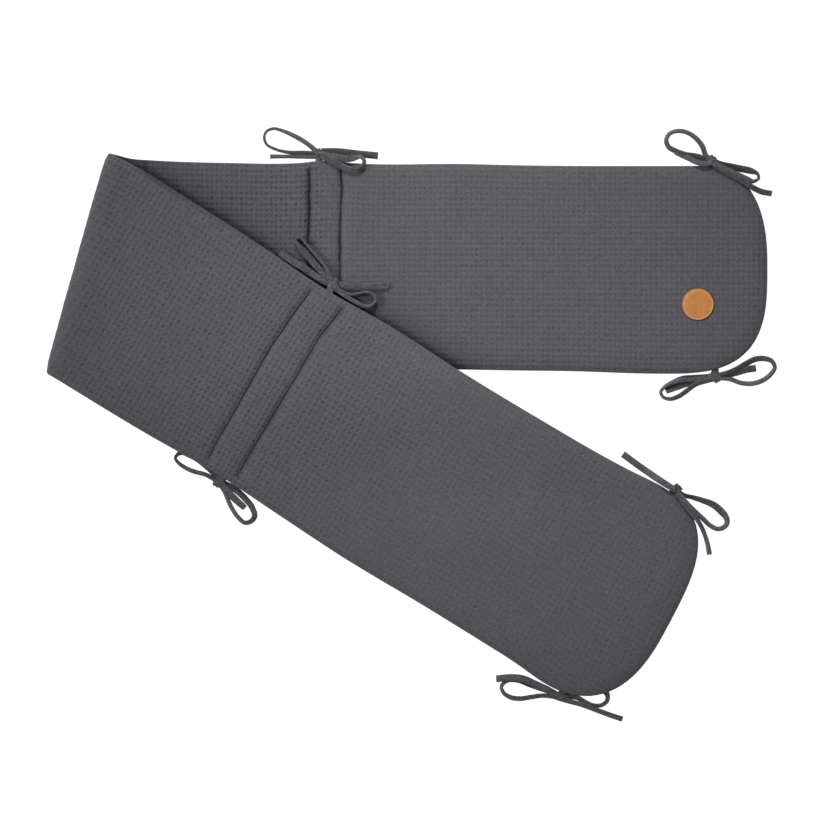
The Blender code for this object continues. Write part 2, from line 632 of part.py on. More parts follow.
def sewn_root(bow, knot):
    """The short run of tape from just inside the seam to the knot."""
    upper, lower = half_widths(np.array(bow["s"]))
    edge = upper if bow["side"] > 0 else -lower
    inside = edge - bow["side"] * SEAM_ALLOWANCE
    seam = Vector(folded(np.array(bow["s"]), np.array(inside), np.array(0.0)))
    points = [seam.lerp(knot, share) for share in np.linspace(0, 1, 4)]
    return points, [0.0] * len(points)


def add_bow(name, bow, tree, profile, cutter, parts, helpers, material):
    knot = knot_place(bow, tree)
    tie = add_object(name, knot_mesh(name), parts, material)
    tie.location = knot
    tie.rotation_euler.z = math.radians(bow["turn"])
    strands = [sewn_root(bow, knot)]
    for rows in bow["loops"] + bow["tails"]:
        strands.append(laid(rows, knot, bow["rest"], tree))
    group = bpy.data.collections.new(f"{name}_strands")
    helpers.children.link(group)
    for number, (points, twists) in enumerate(strands):
        tape(f"{name}_strand_{number}", points, twists, profile, group)
    fuse(tie, group)
    cut(tie, cutter)
    clear_slivers(tie)
    return tie


def add_label(tree, parts, material):
    x, y, _ = folded(np.array(LABEL["s"]), np.array(LABEL["t"]), np.array(0.0))
    radius = LABEL["radius"]
    turns = np.linspace(0, 2 * math.pi, LABEL["sides"])
    rim = [(x + radius * math.cos(turn), y + radius * math.sin(turn)) for turn in turns]
    top = max(height_below(tree, px, py, ABOVE_ALL) for px, py in [(x, y), *rim])
    bm = bmesh.new()
    bmesh.ops.create_cone(
        bm, cap_ends=True, segments=LABEL["sides"], radius1=radius, radius2=radius, depth=LABEL["thickness"]
    )
    mesh = bpy.data.meshes.new("leather_label")
    bm.to_mesh(mesh)
    bm.free()
    label = add_object("leather_label", mesh, parts, material)
    label.location = (x, y, top + SEAT + LABEL["thickness"] / 2)
    bevel = label.modifiers.new("eased_rim", "BEVEL")
    bevel.width = LABEL["bevel"]
    bevel.segments = 1
    bevel.limit_method = "ANGLE"
    mesh.shade_smooth()
    mesh.set_sharp_from_angle(angle=SMOOTH_UNDER)
    return label


def main():
    clear_scene()
    parts = new_collection("crib_bumper")
    helpers = new_collection("cutters_and_guides")
    materials = {name: new_material(name) for name in COLOURS}

    mesh = seamed_strip(stations(), columns())
    pad = add_object("bumper_pad", mesh, parts, materials["waffle_cotton"])
    bpy.context.view_layer.update()
    tree = BVHTree.FromObject(pad, bpy.context.evaluated_depsgraph_get())

    cutter = as_helper(add_object("pad_cutter", mesh.copy(), helpers))
    swell = cutter.modifiers.new("seat", "DISPLACE")
    swell.strength = SEAT
    swell.mid_level = 0.0

    profile = tape_profile(helpers)
    for name, bow in BOWS.items():
        add_bow(name, bow, tree, profile, cutter, parts, helpers, materials["cotton_tape"])
    add_label(tree, parts, materials["leather"])


main()
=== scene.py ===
import math

import bmesh
import bpy
import numpy as np
from mathutils import Matrix, Vector
from mathutils.bvhtree import BVHTree
from mathutils.kdtree import KDTree


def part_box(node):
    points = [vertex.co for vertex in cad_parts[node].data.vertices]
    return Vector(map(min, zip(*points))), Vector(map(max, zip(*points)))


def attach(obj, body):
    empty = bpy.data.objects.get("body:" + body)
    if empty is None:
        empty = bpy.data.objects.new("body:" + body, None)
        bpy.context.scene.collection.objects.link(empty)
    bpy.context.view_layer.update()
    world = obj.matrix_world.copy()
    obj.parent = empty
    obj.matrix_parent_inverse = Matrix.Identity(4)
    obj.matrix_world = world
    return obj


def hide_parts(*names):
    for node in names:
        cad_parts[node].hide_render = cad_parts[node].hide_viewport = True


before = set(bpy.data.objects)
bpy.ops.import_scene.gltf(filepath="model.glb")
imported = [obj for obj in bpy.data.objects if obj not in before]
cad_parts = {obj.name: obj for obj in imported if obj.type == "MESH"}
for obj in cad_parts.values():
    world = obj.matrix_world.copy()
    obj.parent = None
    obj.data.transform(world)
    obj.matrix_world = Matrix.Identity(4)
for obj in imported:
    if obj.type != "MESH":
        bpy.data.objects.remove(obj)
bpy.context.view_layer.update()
print("frame loaded:", ", ".join(sorted(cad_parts)))

# camera straight above, far away with a long lens, so the page is nearly a plan of the object
cameraSetup = {"distance": 9.0, "pageWidth": 1.1234, "centre": (0.0072, 0.0150), "sharpAt": 0.020}


def addObject(name, data, place=(0, 0, 0)):
    thing = bpy.data.objects.new(name, data)
    thing.location = place
    bpy.context.collection.objects.link(thing)
    return thing


def addCamera(setup):
    data = bpy.data.cameras.new("camera")
    data.sensor_width = 36
    data.lens = 36 * setup["distance"] / setup["pageWidth"]
    data.clip_end = 50
    place = (*setup["centre"], setup["sharpAt"] + setup["distance"])
    bpy.context.scene.camera = addObject("camera", data, place)


addCamera(cameraSetup)
print("camera placed")

# soft studio light: a white dome, and two wide lamps from beyond the far side and from the left that
# fall off away from the middle of the object
lightSetup = {
    "dome": 0.56, "aim": (0.13, 0.11, 0.0), "distance": 2.6, "softness": 0.40, "cone": math.radians(34),
    # degrees round the object, degrees above the floor, power
    "lamps": {"far": (100, 42, 288.0), "left": (172, 40, 228.0)},
}
# a lit white table, bright to its edges
floorSetup = {"size": 30.0, "below": 0.0005, "colour": (0.10, 0.10, 0.10), "glow": 1.0}


def newMaterial(name):
    material = bpy.data.materials.new(name)
    material.use_nodes = True
    return material, material.node_tree, material.node_tree.nodes["Principled BSDF"]


def wire(tree, node, inputs):
    # each input is set to its number or colour, or linked to what another node gives
    for name, value in inputs.items():
        if isinstance(value, tuple):
            node.inputs[name].default_value = (*value, 1)
        elif isinstance(value, (int, float)):
            node.inputs[name].default_value = value
        elif value is not None:
            tree.links.new(value, node.inputs[name])


def addLamp(name, degreesRound, degreesUp, power, setup):
    turn, height = math.radians(degreesRound), math.radians(degreesUp)
    data = bpy.data.lights.new(name, "SPOT")
    data.energy = power
    data.spot_size = setup["cone"]
    data.spot_blend = 1.0
    data.shadow_soft_size = setup["softness"]
    reach = math.cos(height)
    towards = Vector((reach * math.cos(turn), reach * math.sin(turn), math.sin(height)))
    lamp = addObject(name, data, Vector(setup["aim"]) + towards * setup["distance"])
    lamp.rotation_mode = "QUATERNION"
    lamp.rotation_quaternion = (-towards).to_track_quat("-Z", "Y")
    lamp.visible_camera = False


def addLights(setup):
    world = bpy.data.worlds.new("studio")
    world.use_nodes = True
    background = world.node_tree.nodes["Background"]
    wire(world.node_tree, background, {"Color": (1, 1, 1), "Strength": setup["dome"]})
    bpy.context.scene.world = world
    for name, lamp in setup["lamps"].items():
        addLamp(name, *lamp, setup)


def addFloor(setup):
    half = setup["size"] / 2
    mesh = bpy.data.meshes.new("floor")
    corners = [(-half, -half, 0), (half, -half, 0), (half, half, 0), (-half, half, 0)]
    mesh.from_pydata(corners, [], [(0, 1, 2, 3)])
    material, tree, shader = newMaterial("paper")
    wire(tree, shader, {
        "Base Color": setup["colour"], "Roughness": 1.0, "Specular IOR Level": 0.0,
        "Emission Color": (1, 1, 1), "Emission Strength": setup["glow"],
    })
    mesh.materials.append(material)
    addObject("floor", mesh, (0, 0, -setup["below"]))


addLights(lightSetup)
addFloor(floorSetup)
bpy.context.scene.view_settings.view_transform = "Standard"
print("floor and lights placed")


# short hands for wiring shader nodes
def mathNode(tree, operation, *values):
    node = tree.nodes.new("ShaderNodeMath")
    node.operation = operation
    wire(tree, node, dict(enumerate(values)))
    return node.outputs[0]


def noiseNode(tree, place, scale, detail, roughness=0.55):
    node = tree.nodes.new("ShaderNodeTexNoise")
    wire(tree, node, {"Vector": place, "Scale": scale, "Detail": detail, "Roughness": roughness})
    return node.outputs["Fac"]


def mixNode(tree, share, first, second, blend="MIX"):
    node = tree.nodes.new("ShaderNodeMix")
    node.data_type = "RGBA"
    node.blend_type = blend
    wire(tree, node, {0: share, 6: first, 7: second})
    return node.outputs[2]


def rampNode(tree, value, stops):
    node = tree.nodes.new("ShaderNodeValToRGB")
    while len(node.color_ramp.elements) < len(stops):
        node.color_ramp.elements.new(1.0)
    for element, (place, colour) in zip(node.color_ramp.elements, stops):
        element.position = place
        element.color = (*colour, 1)
    wire(tree, node, {"Fac": value})
    return node.outputs["Color"]


def bumpNode(tree, height, distance, strength=1.0, under=None):
    node = tree.nodes.new("ShaderNodeBump")
    wire(tree, node, {"Height": height, "Distance": distance, "Strength": strength, "Normal": under})
    return node.outputs["Normal"]


def uvParts(tree, name):
    uv = tree.nodes.new("ShaderNodeUVMap")
    uv.uv_map = name
    parts = tree.nodes.new("ShaderNodeSeparateXYZ")
    tree.links.new(uv.outputs["UV"], parts.inputs[0])
    return parts.outputs["X"], parts.outputs["Y"]


def objectPlace(tree):
    return tree.nodes.new("ShaderNodeTexCoord").outputs["Object"]


def attributeNode(tree, name):
    node = tree.nodes.new("ShaderNodeAttribute")
    node.attribute_name = name
    return node.outputs["Fac"]


def times(tree, first, second):
    return mathNode(tree, "MULTIPLY", first, second)


def plus(tree, first, second):
    return mathNode(tree, "ADD", first, second)


def spotted(tree, colour, noise, share):
    # the colour, made lighter and darker by this share where the noise says
    low, high = 0.3, 0.7
    tint = rampNode(tree, noise, ((low, (1 - share,) * 3), (high, (1 + share,) * 3)))
    return mixNode(tree, 1.0, colour, tint, "MULTIPLY")


# what all the cloth here has in common
clothLooks = {"specular": 0.18, "sheenRoughness": 0.45, "sheenTint": (0.86, 0.85, 0.92)}


def finishCloth(tree, shader, colour, normal, looks):
    wire(tree, shader, {
        "Base Color": colour, "Normal": normal, "Roughness": looks["roughness"],
        "Sheen Weight": looks["sheen"], "Sheen Roughness": clothLooks["sheenRoughness"],
        "Sheen Tint": clothLooks["sheenTint"], "Specular IOR Level": clothLooks["specular"],
    })


# dark grey waffle cotton: rows of pits between ridges, the ridges along the strip the stronger ones
waffleLooks = {
    # the pit colour is painted shade in the pits, the crease colour painted shade in the sewn lines, the
    # wrinkles and beside the upper arm
    "ridge": (0.0640, 0.0612, 0.0684), "pit": (0.0410, 0.0388, 0.0445), "crease": (0.0110, 0.0102, 0.0122),
    "bridge": 0.25, "threadsPerCell": 8, "roughness": 0.92, "sheen": 0.12,
    # noises: spots to the metre, detail, roughness
    "lint": (900, 3, 0.7), "mottle": (260, 2), "cloud": (9, 3), "patches": (110, 2),
    # how far each one lightens and darkens the cloth, or deepens and fills its pits
    "lintShare": 0.32, "mottleShare": 0.12, "cloudShare": 0.03, "patchesShare": 2.4,
    # bumps: distance, strength
    "weaveBump": (0.001, 1.0), "threadBump": (0.00008, 0.6), "lintBump": (0.00025, 0.7),
}


def waffleMaterial(looks):
    material, tree, shader = newMaterial("waffleCotton")
    ways = uvParts(tree, "weave")
    place = objectPlace(tree)
    sines = [mathNode(tree, "SINE", times(tree, way, math.pi)) for way in ways]
    along, across = [times(tree, sine, sine) for sine in sines]
    bridges = plus(tree, times(tree, along, 1 - looks["bridge"]), looks["bridge"])
    patches = mathNode(tree, "SUBTRACT", noiseNode(tree, place, *looks["patches"]), 0.5)
    uneven = plus(tree, times(tree, patches, looks["patchesShare"]), 1.0)
    pit = times(tree, times(tree, across, bridges), uneven)
    depth = times(tree, pit, attributeNode(tree, "weaveDepth"))
    turn = 2 * math.pi * looks["threadsPerCell"]
    threads = plus(tree, *[mathNode(tree, "SINE", times(tree, way, turn)) for way in ways])
    lint = noiseNode(tree, place, *looks["lint"])
    # painted shade: the pits are darkened towards the pit colour, as much as pitShade says
    shade = times(tree, pit, attributeNode(tree, "pitShade"))
    colour = spotted(tree, mixNode(tree, shade, looks["ridge"], looks["pit"]), lint, looks["lintShare"])
    for spots in ("mottle", "cloud"):
        colour = spotted(tree, colour, noiseNode(tree, place, *looks[spots]), looks[spots + "Share"])
    # painted shade in the sewn lines, the wrinkles, beside the upper arm and on its edge near the fold,
    # from the crease attribute towards the crease colour
    colour = mixNode(tree, attributeNode(tree, "crease"), colour, looks["crease"])
    normal = bumpNode(tree, times(tree, depth, -1.0), *looks["weaveBump"])
    normal = bumpNode(tree, threads, *looks["threadBump"], normal)
    normal = bumpNode(tree, lint, *looks["lintBump"], normal)
    finishCloth(tree, shader, colour, normal, looks)
    return material


# folded cotton tape: finer ribs, spotted like the cloth
tapeLooks = {
    "light": (0.0700, 0.0670, 0.0740), "dark": (0.0440, 0.0420, 0.0470), "roughness": 0.9, "sheen": 0.2,
    "ribsPerMillimetre": 1.0, "ribShare": 0.25, "ribBump": (0.00016, 1.0),
    "lint": (700, 3, 0.7), "lintShare": 0.35, "lintBump": (0.00025, 0.6),
    "mottle": (380, 2), "mottleShare": 0.50, "cloud": (60, 2),
}


def tapeMaterial(looks):
    material, tree, shader = newMaterial("cottonTape")
    place = objectPlace(tree)
    turn = 2 * math.pi * looks["ribsPerMillimetre"]
    ribs = times(tree, *[mathNode(tree, "SINE", times(tree, way, turn)) for way in uvParts(tree, "weave")])
    lint = noiseNode(tree, place, *looks["lint"])
    mix = plus(tree, times(tree, ribs, looks["ribShare"]), noiseNode(tree, place, *looks["cloud"]))
    colour = mixNode(tree, mix, looks["dark"], looks["light"])
    colour = spotted(tree, colour, noiseNode(tree, place, *looks["mottle"]), looks["mottleShare"])
    colour = spotted(tree, colour, lint, looks["lintShare"])
    normal = bumpNode(tree, ribs, *looks["ribBump"])
    normal = bumpNode(tree, lint, *looks["lintBump"], normal)
    finishCloth(tree, shader, colour, normal, looks)
    return material


threadLooks = {
    "light": (0.055, 0.052, 0.058), "dark": (0.044, 0.0416, 0.0464), "waveScale": 433.333,
    "bump": 0.0001, "roughness": 0.7, "sheen": 0.1,
}


def threadMaterial(looks):
    material, tree, shader = newMaterial("sewingThread")
    twist = tree.nodes.new("ShaderNodeTexWave")
    twist.bands_direction = "DIAGONAL"
    wire(tree, twist, {"Scale": looks["waveScale"], "Vector": objectPlace(tree)})
    colour = rampNode(tree, twist.outputs["Fac"], ((0.2, looks["dark"]), (0.8, looks["light"])))
    normal = bumpNode(tree, twist.outputs["Fac"], looks["bump"])
    finishCloth(tree, shader, colour, normal, looks)
    return material


# tan leather, its rim burnt dark by the cutter and a lighter pressed ring inside it
leatherLooks = {
    "tan": (0.337, 0.135, 0.033), "ring": (0.368, 0.170, 0.052), "rim": (0.070, 0.026, 0.010),
    # share of the radius, colour
    "bands": ((0.0, "tan"), (0.80, "tan"), (0.84, "ring"), (0.925, "ring"), (0.955, "tan"), (0.975, "rim")),
    "radius": 0.022, "blotches": (160, 4), "pores": (1400, 4, 0.65), "cells": 980, "bump": (0.00012, 0.8),
    "blotchTones": ((0.3, (0.88, 0.86, 0.84)), (0.7, (1.08, 1.08, 1.08))),
    "poreTones": ((0.35, (0.86, 0.83, 0.80)), (0.6, (1.05, 1.05, 1.05))),
    "roughness": 0.62, "specular": 0.35,
}


def leatherMaterial(looks):
    material, tree, shader = newMaterial("tanLeather")
    place = objectPlace(tree)
    flat = tree.nodes.new("ShaderNodeVectorMath")
    flat.operation = "MULTIPLY"
    flat.inputs[1].default_value = (1 / looks["radius"], 1 / looks["radius"], 0)
    reach = tree.nodes.new("ShaderNodeVectorMath")
    reach.operation = "LENGTH"
    wire(tree, flat, {0: place})
    wire(tree, reach, {0: flat.outputs["Vector"]})
    bands = [(share, looks[name]) for share, name in looks["bands"]]
    colour = rampNode(tree, reach.outputs["Value"], bands)
    pores = noiseNode(tree, place, *looks["pores"])
    for noise, tones in ((noiseNode(tree, place, *looks["blotches"]), "blotchTones"), (pores, "poreTones")):
        colour = mixNode(tree, 1.0, colour, rampNode(tree, noise, looks[tones]), "MULTIPLY")
    cells = tree.nodes.new("ShaderNodeTexVoronoi")
    wire(tree, cells, {"Scale": looks["cells"], "Vector": place})
    normal = bumpNode(tree, cells.outputs["Distance"], *looks["bump"])
    wire(tree, shader, {
        "Base Color": colour, "Normal": bumpNode(tree, pores, *looks["bump"], normal),
        "Roughness": looks["roughness"], "Specular IOR Level": looks["specular"],
    })
    return material


waffleCotton = waffleMaterial(waffleLooks)
cottonTape = tapeMaterial(tapeLooks)
sewingThread = threadMaterial(threadLooks)
tanLeather = leatherMaterial(leatherLooks)
print("materials ready")


def meshOf(bm, name):
    # ends the work on a mesh, with all its faces looking outwards
    bmesh.ops.recalc_face_normals(bm, faces=bm.faces)
    mesh = bpy.data.meshes.new(name)
    bm.to_mesh(mesh)
    bm.free()
    return mesh


def addPiece(mesh, material, node=None, place=(0, 0, 0)):
    # a piece of the part, in a material slot, shown in place of a body of the CAD if it has one
    mesh.shade_smooth()
    mesh.materials.append(material)
    piece = addObject(mesh.name, mesh, place)
    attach(piece, "root")
    if node:
        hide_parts(node)
    return piece


# the strip, laid flat: s runs along it, 0 on the fold and positive towards the far end, t across it
strip = {
    "labelPanel": 0.5805, "channel1": 0.0435, "middlePanel": 0.605, "channel2": 0.048, "farPanel": 0.6045,
    "thickness": 0.020, "edgeRound": 0.042, "crownReach": 0.130, "crownShare": 0.15, "crownMovesOver": 0.4,
    # the rounded ends are superellipses, of their own size at the upper and the lower corner
    "labelEnd": {"length": (0.095, 0.140), "power": (2.5, 3.1)},
    "farEnd": {"length": (0.120, 0.125), "power": (3.3, 2.6)}, "farEndLean": 0.06, "farEndLeansOver": 0.2,
    "stitchedThickness": 0.0028, "panelShoulder": 0.022, "stitchStopsAt": 0.009, "channelHeight": 0.74,
    "foldFromChannel1": 0.316, "foldTilt": math.radians(15.7), "foldEasesOver": 0.060,
    "layerGap": 0.0024, "drape": 0.190, "foldPoint": (-0.4502, 0.2136, 0.0),
}
# half widths above and below the strip's axis: s, upper, lower
edgeRows = (
    (-0.938, 0.1380, 0.1440), (-0.770, 0.1378, 0.1450), (-0.673, 0.1379, 0.1418), (-0.600, 0.1388, 0.1409),
    (-0.530, 0.1405, 0.1397), (-0.372, 0.1420, 0.1389), (-0.338, 0.1452, 0.1390), (-0.304, 0.1420, 0.1396),
    (-0.204, 0.1420, 0.1415), (-0.102, 0.1455, 0.1440), (-0.075, 0.1475, 0.1442), (-0.044, 0.1550, 0.1445),
    (-0.010, 0.1580, 0.1447), (0.088, 0.1578, 0.1446), (0.192, 0.1556, 0.1443), (0.313, 0.1505, 0.1412),
    (0.408, 0.1535, 0.1450), (0.514, 0.1510, 0.1487), (0.650, 0.1516, 0.1477), (0.736, 0.1534, 0.1482),
    (0.786, 0.1560, 0.1490), (0.830, 0.1597, 0.1522), (0.944, 0.1597, 0.1525),
)

channel1At = -strip["foldFromChannel1"] - strip["channel1"] / 2
channel2At = strip["middlePanel"] - strip["foldFromChannel1"] + strip["channel2"] / 2
stitchLines = (
    channel1At - strip["channel1"] / 2, channel1At + strip["channel1"] / 2,
    channel2At - strip["channel2"] / 2, channel2At + strip["channel2"] / 2,
)
labelTip = stitchLines[0] - strip["labelPanel"]
farTip = stitchLines[3] + strip["farPanel"]
foldRadius = (strip["thickness"] + strip["layerGap"]) / 2
foldArc = math.pi * foldRadius
foldOutward = np.array((-math.cos(strip["foldTilt"]), math.sin(strip["foldTilt"])))
underUpperArm = strip["thickness"] + strip["layerGap"] / 2


# the padded strip: a lattice with two steps to each waffle cell, laid over both faces and seamed round
# the edge, with lattice lines on the stitch lines
padding = {
    "cellsAcross": 37, "cellsAlong": (83, 6, 47, 39, 7, 83), "edgeReach": 0.036, "edgePower": 2.6,
    "seamInset": 0.0010, "seamLip": 0.0001, "seamGroove": 0.0007, "lipHeight": 0.0004,
    "grooveSteps": (0.0006, 0.0013, 0.0023), "shoulderPower": 3.0,
    # the weave's relief: depth in the mesh, depth for the fine shading in mm, and how much shade is painted
    # in the pits
    "relief": {"label": 0.00042, "back": 0.00070, "front": 0.00045, "far": 0.00025}, "bridge": 0.22,
    "weaveDepth": {"label": 0.80, "back": 1.4, "front": 1.35, "far": 0.60},
    "pitShade": {"label": 0.22, "back": 0.62, "front": 0.28, "far": 0.16},
    "cellsPerMetre": 140, "panelChange": 0.03, "farPanelChange": 0.24, "bendReach": 0.07,
    "fadeAtSeam": 0.004, "fadeAtStitches": 0.0025, "unevenRelief": (0.35, 0.009), "flatAtFold": (0.8, 0.03),
    # height and size
    "ripples": ((0.00045, 0.050), (0.000225, 0.050 / 2.3)), "rippleFrom": 0.02,
    "stitchPucker": (0.0007, 0.011), "seamPucker": (0.0006, 0.012), "puckerFrom": 0.003,
    "puckerStretch": 0.25, "thinnest": 0.0002,
    # the painted shade on each sewn line and how far from it that reaches, then how much it wavers and
    # varies, and over what length
    "paintedStitchShade": (0.95, 0.97, 0.08, 0.42), "paintedStitchShadeReach": (0.0022, 0.0025, 0.0030, 0.0044),
    "creaseWaver": (0.0006, 0.012), "creaseUneven": (0.35, 0.017),
    # creases pressed in beside the fold: s, first t, last t, width, depth, how much shade is painted in
    # them
    "wrinkles": (
        (-0.0825, 0.088, 0.150, 0.0016, 0.0014, 0.70), (-0.0935, 0.074, 0.150, 0.0028, 0.0016, 0.60),
        (-0.1323, 0.060, 0.150, 0.0016, 0.0006, 0.25),
    ),
    "wrinkleWaver": (0.0012, 0.02), "wrinkleFades": (0.02, 0.004),
    # painted shadow on the lower arm beside the upper arm's edge, less near the bow there
    "paintedUnderArmShadow": {
        "dark": 0.70, "reach": 0.020, "from": 0.03, "less": 0.85, "lessAt": 0.300, "lessOver": 0.06,
    },
    # painted shade on the upper arm's own edge near the fold
    "paintedFoldEdgeShade": {"dark": 0.60, "reach": 0.010, "power": 1.5, "from": 0.01, "until": 0.24},
    # how full the padding is, and how finely the outline is worked out
    "fill": 0.45, "edgeSamples": 4000, "outlineSamples": 6000, "halvings": 22, "leastCut": 0.12,
    "closeEnough": 1e-6,
}
# the sewn lines wander off square: t, then how far each is from its place in mm
lineBends = (
    (-0.130, 1.5, 0.0, 0.0, -2.0), (-0.100, 1.5, 0.0, -2.0, -3.0), (-0.060, 1.5, 0.5, -2.6, -3.0),
    (-0.020, 1.5, 1.0, -4.0, -3.4), (0.020, 1.5, 1.5, -5.3, -3.5), (0.045, 1.2, 1.2, -6.0, -4.0),
    (0.070, 0.5, 0.2, -4.4, -4.3), (0.095, -0.5, 0.0, -3.5, -4.4), (0.112, -0.8, 0.0, -2.0, -2.0),
    (0.130, 0.0, 0.0, -0.4, 0.0),
)


def throughRows(x, rowsX, rowsY):
    rowsX, rowsY = np.asarray(rowsX, float), np.asarray(rowsY, float)
    slopes = np.gradient(rowsY, rowsX)
    x = np.clip(x, rowsX[0], rowsX[-1])
    i = np.clip(np.searchsorted(rowsX, x, side="right") - 1, 0, len(rowsX) - 2)
    span = rowsX[i + 1] - rowsX[i]
    w = (x - rowsX[i]) / span
    return (
        rowsY[i] * (1 + 2 * w) * (1 - w) ** 2 + rowsY[i + 1] * w * w * (3 - 2 * w)
        + slopes[i] * span * w * (1 - w) ** 2 - slopes[i + 1] * span * w * w * (1 - w)
    )


def eased(x):
    x = np.clip(x, 0.0, 1.0)
    return x * x * (3 - 2 * x)


def fullWidths(s):
    rows = np.array(edgeRows)
    return throughRows(s, rows[:, 0], rows[:, 1]), throughRows(s, rows[:, 0], rows[:, 2])


def endShare(s, corner):
    share = np.ones_like(s)
    for tip, end in ((labelTip, strip["labelEnd"]), (farTip, strip["farEnd"])):
        power = end["power"][corner]
        inward = np.clip(1 - np.abs(s - tip) / end["length"][corner], 0.0, 1.0)
        share = share * (1 - inward ** power) ** (1 / power)
    return share


def halfWidths(s):
    s = np.asarray(s, float)
    upper, lower = fullWidths(s)
    return upper * endShare(s, 0), lower * endShare(s, 1)


def outsideBy(s, t):
    # below 0 where the two faces lie, above 0 in the seam allowance and beyond it
    inset = padding["seamInset"]
    upper, lower = fullWidths(s)
    half = np.where(t > 0, upper, lower) - inset
    end, corner = np.where(s < 0, 0, 1), np.where(t > 0, 0, 1)
    tip = np.array((labelTip, farTip))[end]
    length = np.array((strip["labelEnd"]["length"], strip["farEnd"]["length"]))[end, corner]
    power = np.array((strip["labelEnd"]["power"], strip["farEnd"]["power"]))[end, corner]
    fromTip = np.abs(s - tip) * np.sign(tip - s) * np.sign(tip)
    inward = np.maximum((length - fromTip) / (length - inset), 0.0)
    return (np.abs(t) / half) ** power + inward ** power - 1


def shoulder(distance, reach, power=2):
    x = np.clip(distance / reach, 0.0, 1.0)
    return (1 - (1 - x) ** power) ** (1 / power)


def edgeShare(seamGap):
    return shoulder(seamGap, padding["edgeReach"], padding["edgePower"])


def heldBySewing(seamGap):
    # 1 where the sewn lines run, 0 beyond their ends
    return eased(seamGap / strip["stitchStopsAt"] - 0.5)


def stitchedShare(s, seamGap):
    share = np.ones_like(s)
    least = strip["stitchedThickness"] / strip["thickness"]
    power = padding["shoulderPower"]
    for centre, width in ((channel1At, strip["channel1"]), (channel2At, strip["channel2"])):
        offset = np.abs(s - centre) - width / 2
        outside = least + (1 - least) * shoulder(offset, strip["panelShoulder"], power)
        inside = least + (strip["channelHeight"] - least) * shoulder(-offset, width / 2, power)
        share = share * np.where(offset > 0, outside, inside)
    return 1 - (1 - share) * heldBySewing(seamGap)


def upShare(s):
    # 1 where the outer face lies up, 0 where it lies down
    return eased(s / strip["crownMovesOver"] + 0.5)


def facesHeights(s, seamGap):
    edge = edgeShare(seamGap)
    crown = (1 - strip["crownShare"]) * edge + strip["crownShare"] * shoulder(seamGap, strip["crownReach"])
    up = upShare(s)
    half = strip["thickness"] / 2 * stitchedShare(s, seamGap)
    return half * (edge + (crown - edge) * up), half * (crown + (edge - crown) * up)


def turnRadius(past, t, seamGap):
    # the radius that the middle surface turns at: tight beside the seams, where the strip is thin
    own = edgeShare(seamGap)
    beneath = edgeShare(np.maximum(seamGap + 2 * past * math.sin(strip["foldTilt"]) * np.sign(t), 0))
    tight = strip["thickness"] / 2 * np.maximum(own, (own + beneath) / 2) + strip["layerGap"] / 2
    apart = eased((np.abs(past) - foldArc / 2) / strip["foldEasesOver"])
    return tight + (foldRadius - tight) * apart


def folded(s, t, height, seamGap=strip["edgeRound"]):
    # where a point of the flat strip lies once the strip is folded over and draped
    s = s - strip["farEndLean"] * t * eased((s - farTip) / strip["farEndLeansOver"] + 1)
    flat, past = pastFold(s, t)
    radius = turnRadius(past, t, seamGap)
    halfArc = math.pi / 2 * radius
    angle = np.clip(past / radius + math.pi / 2, 0.0, math.pi)
    outward = np.minimum(past, -halfArc) - np.maximum(past - halfArc, 0) + (radius + height) * np.sin(angle)
    plan = flat + (outward - past)[..., None] * foldOutward
    z = strip["thickness"] / 2 + radius - (radius + height) * np.cos(angle)
    lowerEdge = halfWidths(-plan[..., 0])[1]
    drop = eased((-plan[..., 1] - lowerEdge) / strip["drape"]) * (past > halfArc)
    z = z - 2 * radius * drop
    return np.concatenate((plan, z[..., None]), axis=-1) + np.array(strip["foldPoint"])


# one seed for each kind of unevenness; the sewn lines count on from theirs
seeds = {"ripple": 3, "relief": 11, "stitchPucker": 20, "seamPucker": 31, "tape": 40, "label": 51,
         "creaseWaver": 60, "creaseUneven": 70, "wrinkle": 80}


def softNoise(x, y, size, seed):
    # smooth bumps from -1 to 1, about this size across
    count, shift = 256, 100.0
    grid = np.random.default_rng(seed).uniform(-1, 1, (count, count))
    x, y = np.asarray(x) / size + shift, np.asarray(y) / size + shift
    i, j = np.floor(x).astype(int), np.floor(y).astype(int)
    a, b = eased(x - i), eased(y - j)
    corner = [[grid[(i + p) % count, (j + q) % count] for q in (0, 1)] for p in (0, 1)]
    return (
        corner[0][0] * (1 - a) * (1 - b) + corner[1][0] * a * (1 - b)
        + corner[0][1] * (1 - a) * b + corner[1][1] * a * b
    )


def panelShares(s):
    # how far a place belongs to the label panel, the middle one before and after the fold, and the far one
    onLabel = eased((channel1At - s) / padding["panelChange"] + 0.5)
    onFar = eased((s - channel2At) / padding["farPanelChange"])
    front = eased(s / padding["panelChange"] + 0.5)
    middle = 1 - onLabel - onFar
    return {"label": onLabel, "back": middle * (1 - front), "front": middle * front, "far": onFar}


def panelValue(s, values):
    return sum(share * values[panel] for panel, share in panelShares(s).items())


def bentBy(s, t):
    # how far along the strip the cloth is drawn where the sewn lines wander
    rows = np.array(lineBends)
    total = np.zeros_like(s)
    for number, line in enumerate(stitchLines):
        bend = throughRows(t, rows[:, 0], rows[:, number + 1]) / 1000
        mate = stitchLines[number + 1 - 2 * (number % 2)]
        offset = (s - line) / (mate - line)  # 0 on this line, 1 on the channel's other one
        beyond = 1 - eased(-offset * abs(mate - line) / padding["bendReach"])
        total = total + bend * np.where(offset < 0, beyond, np.maximum(1 - offset, 0))
    return total


def pastFold(s, t):
    # a place on the flat strip, and how far it lies past the fold line
    flat = np.stack((-s, t), axis=-1)
    return flat, flat @ foldOutward


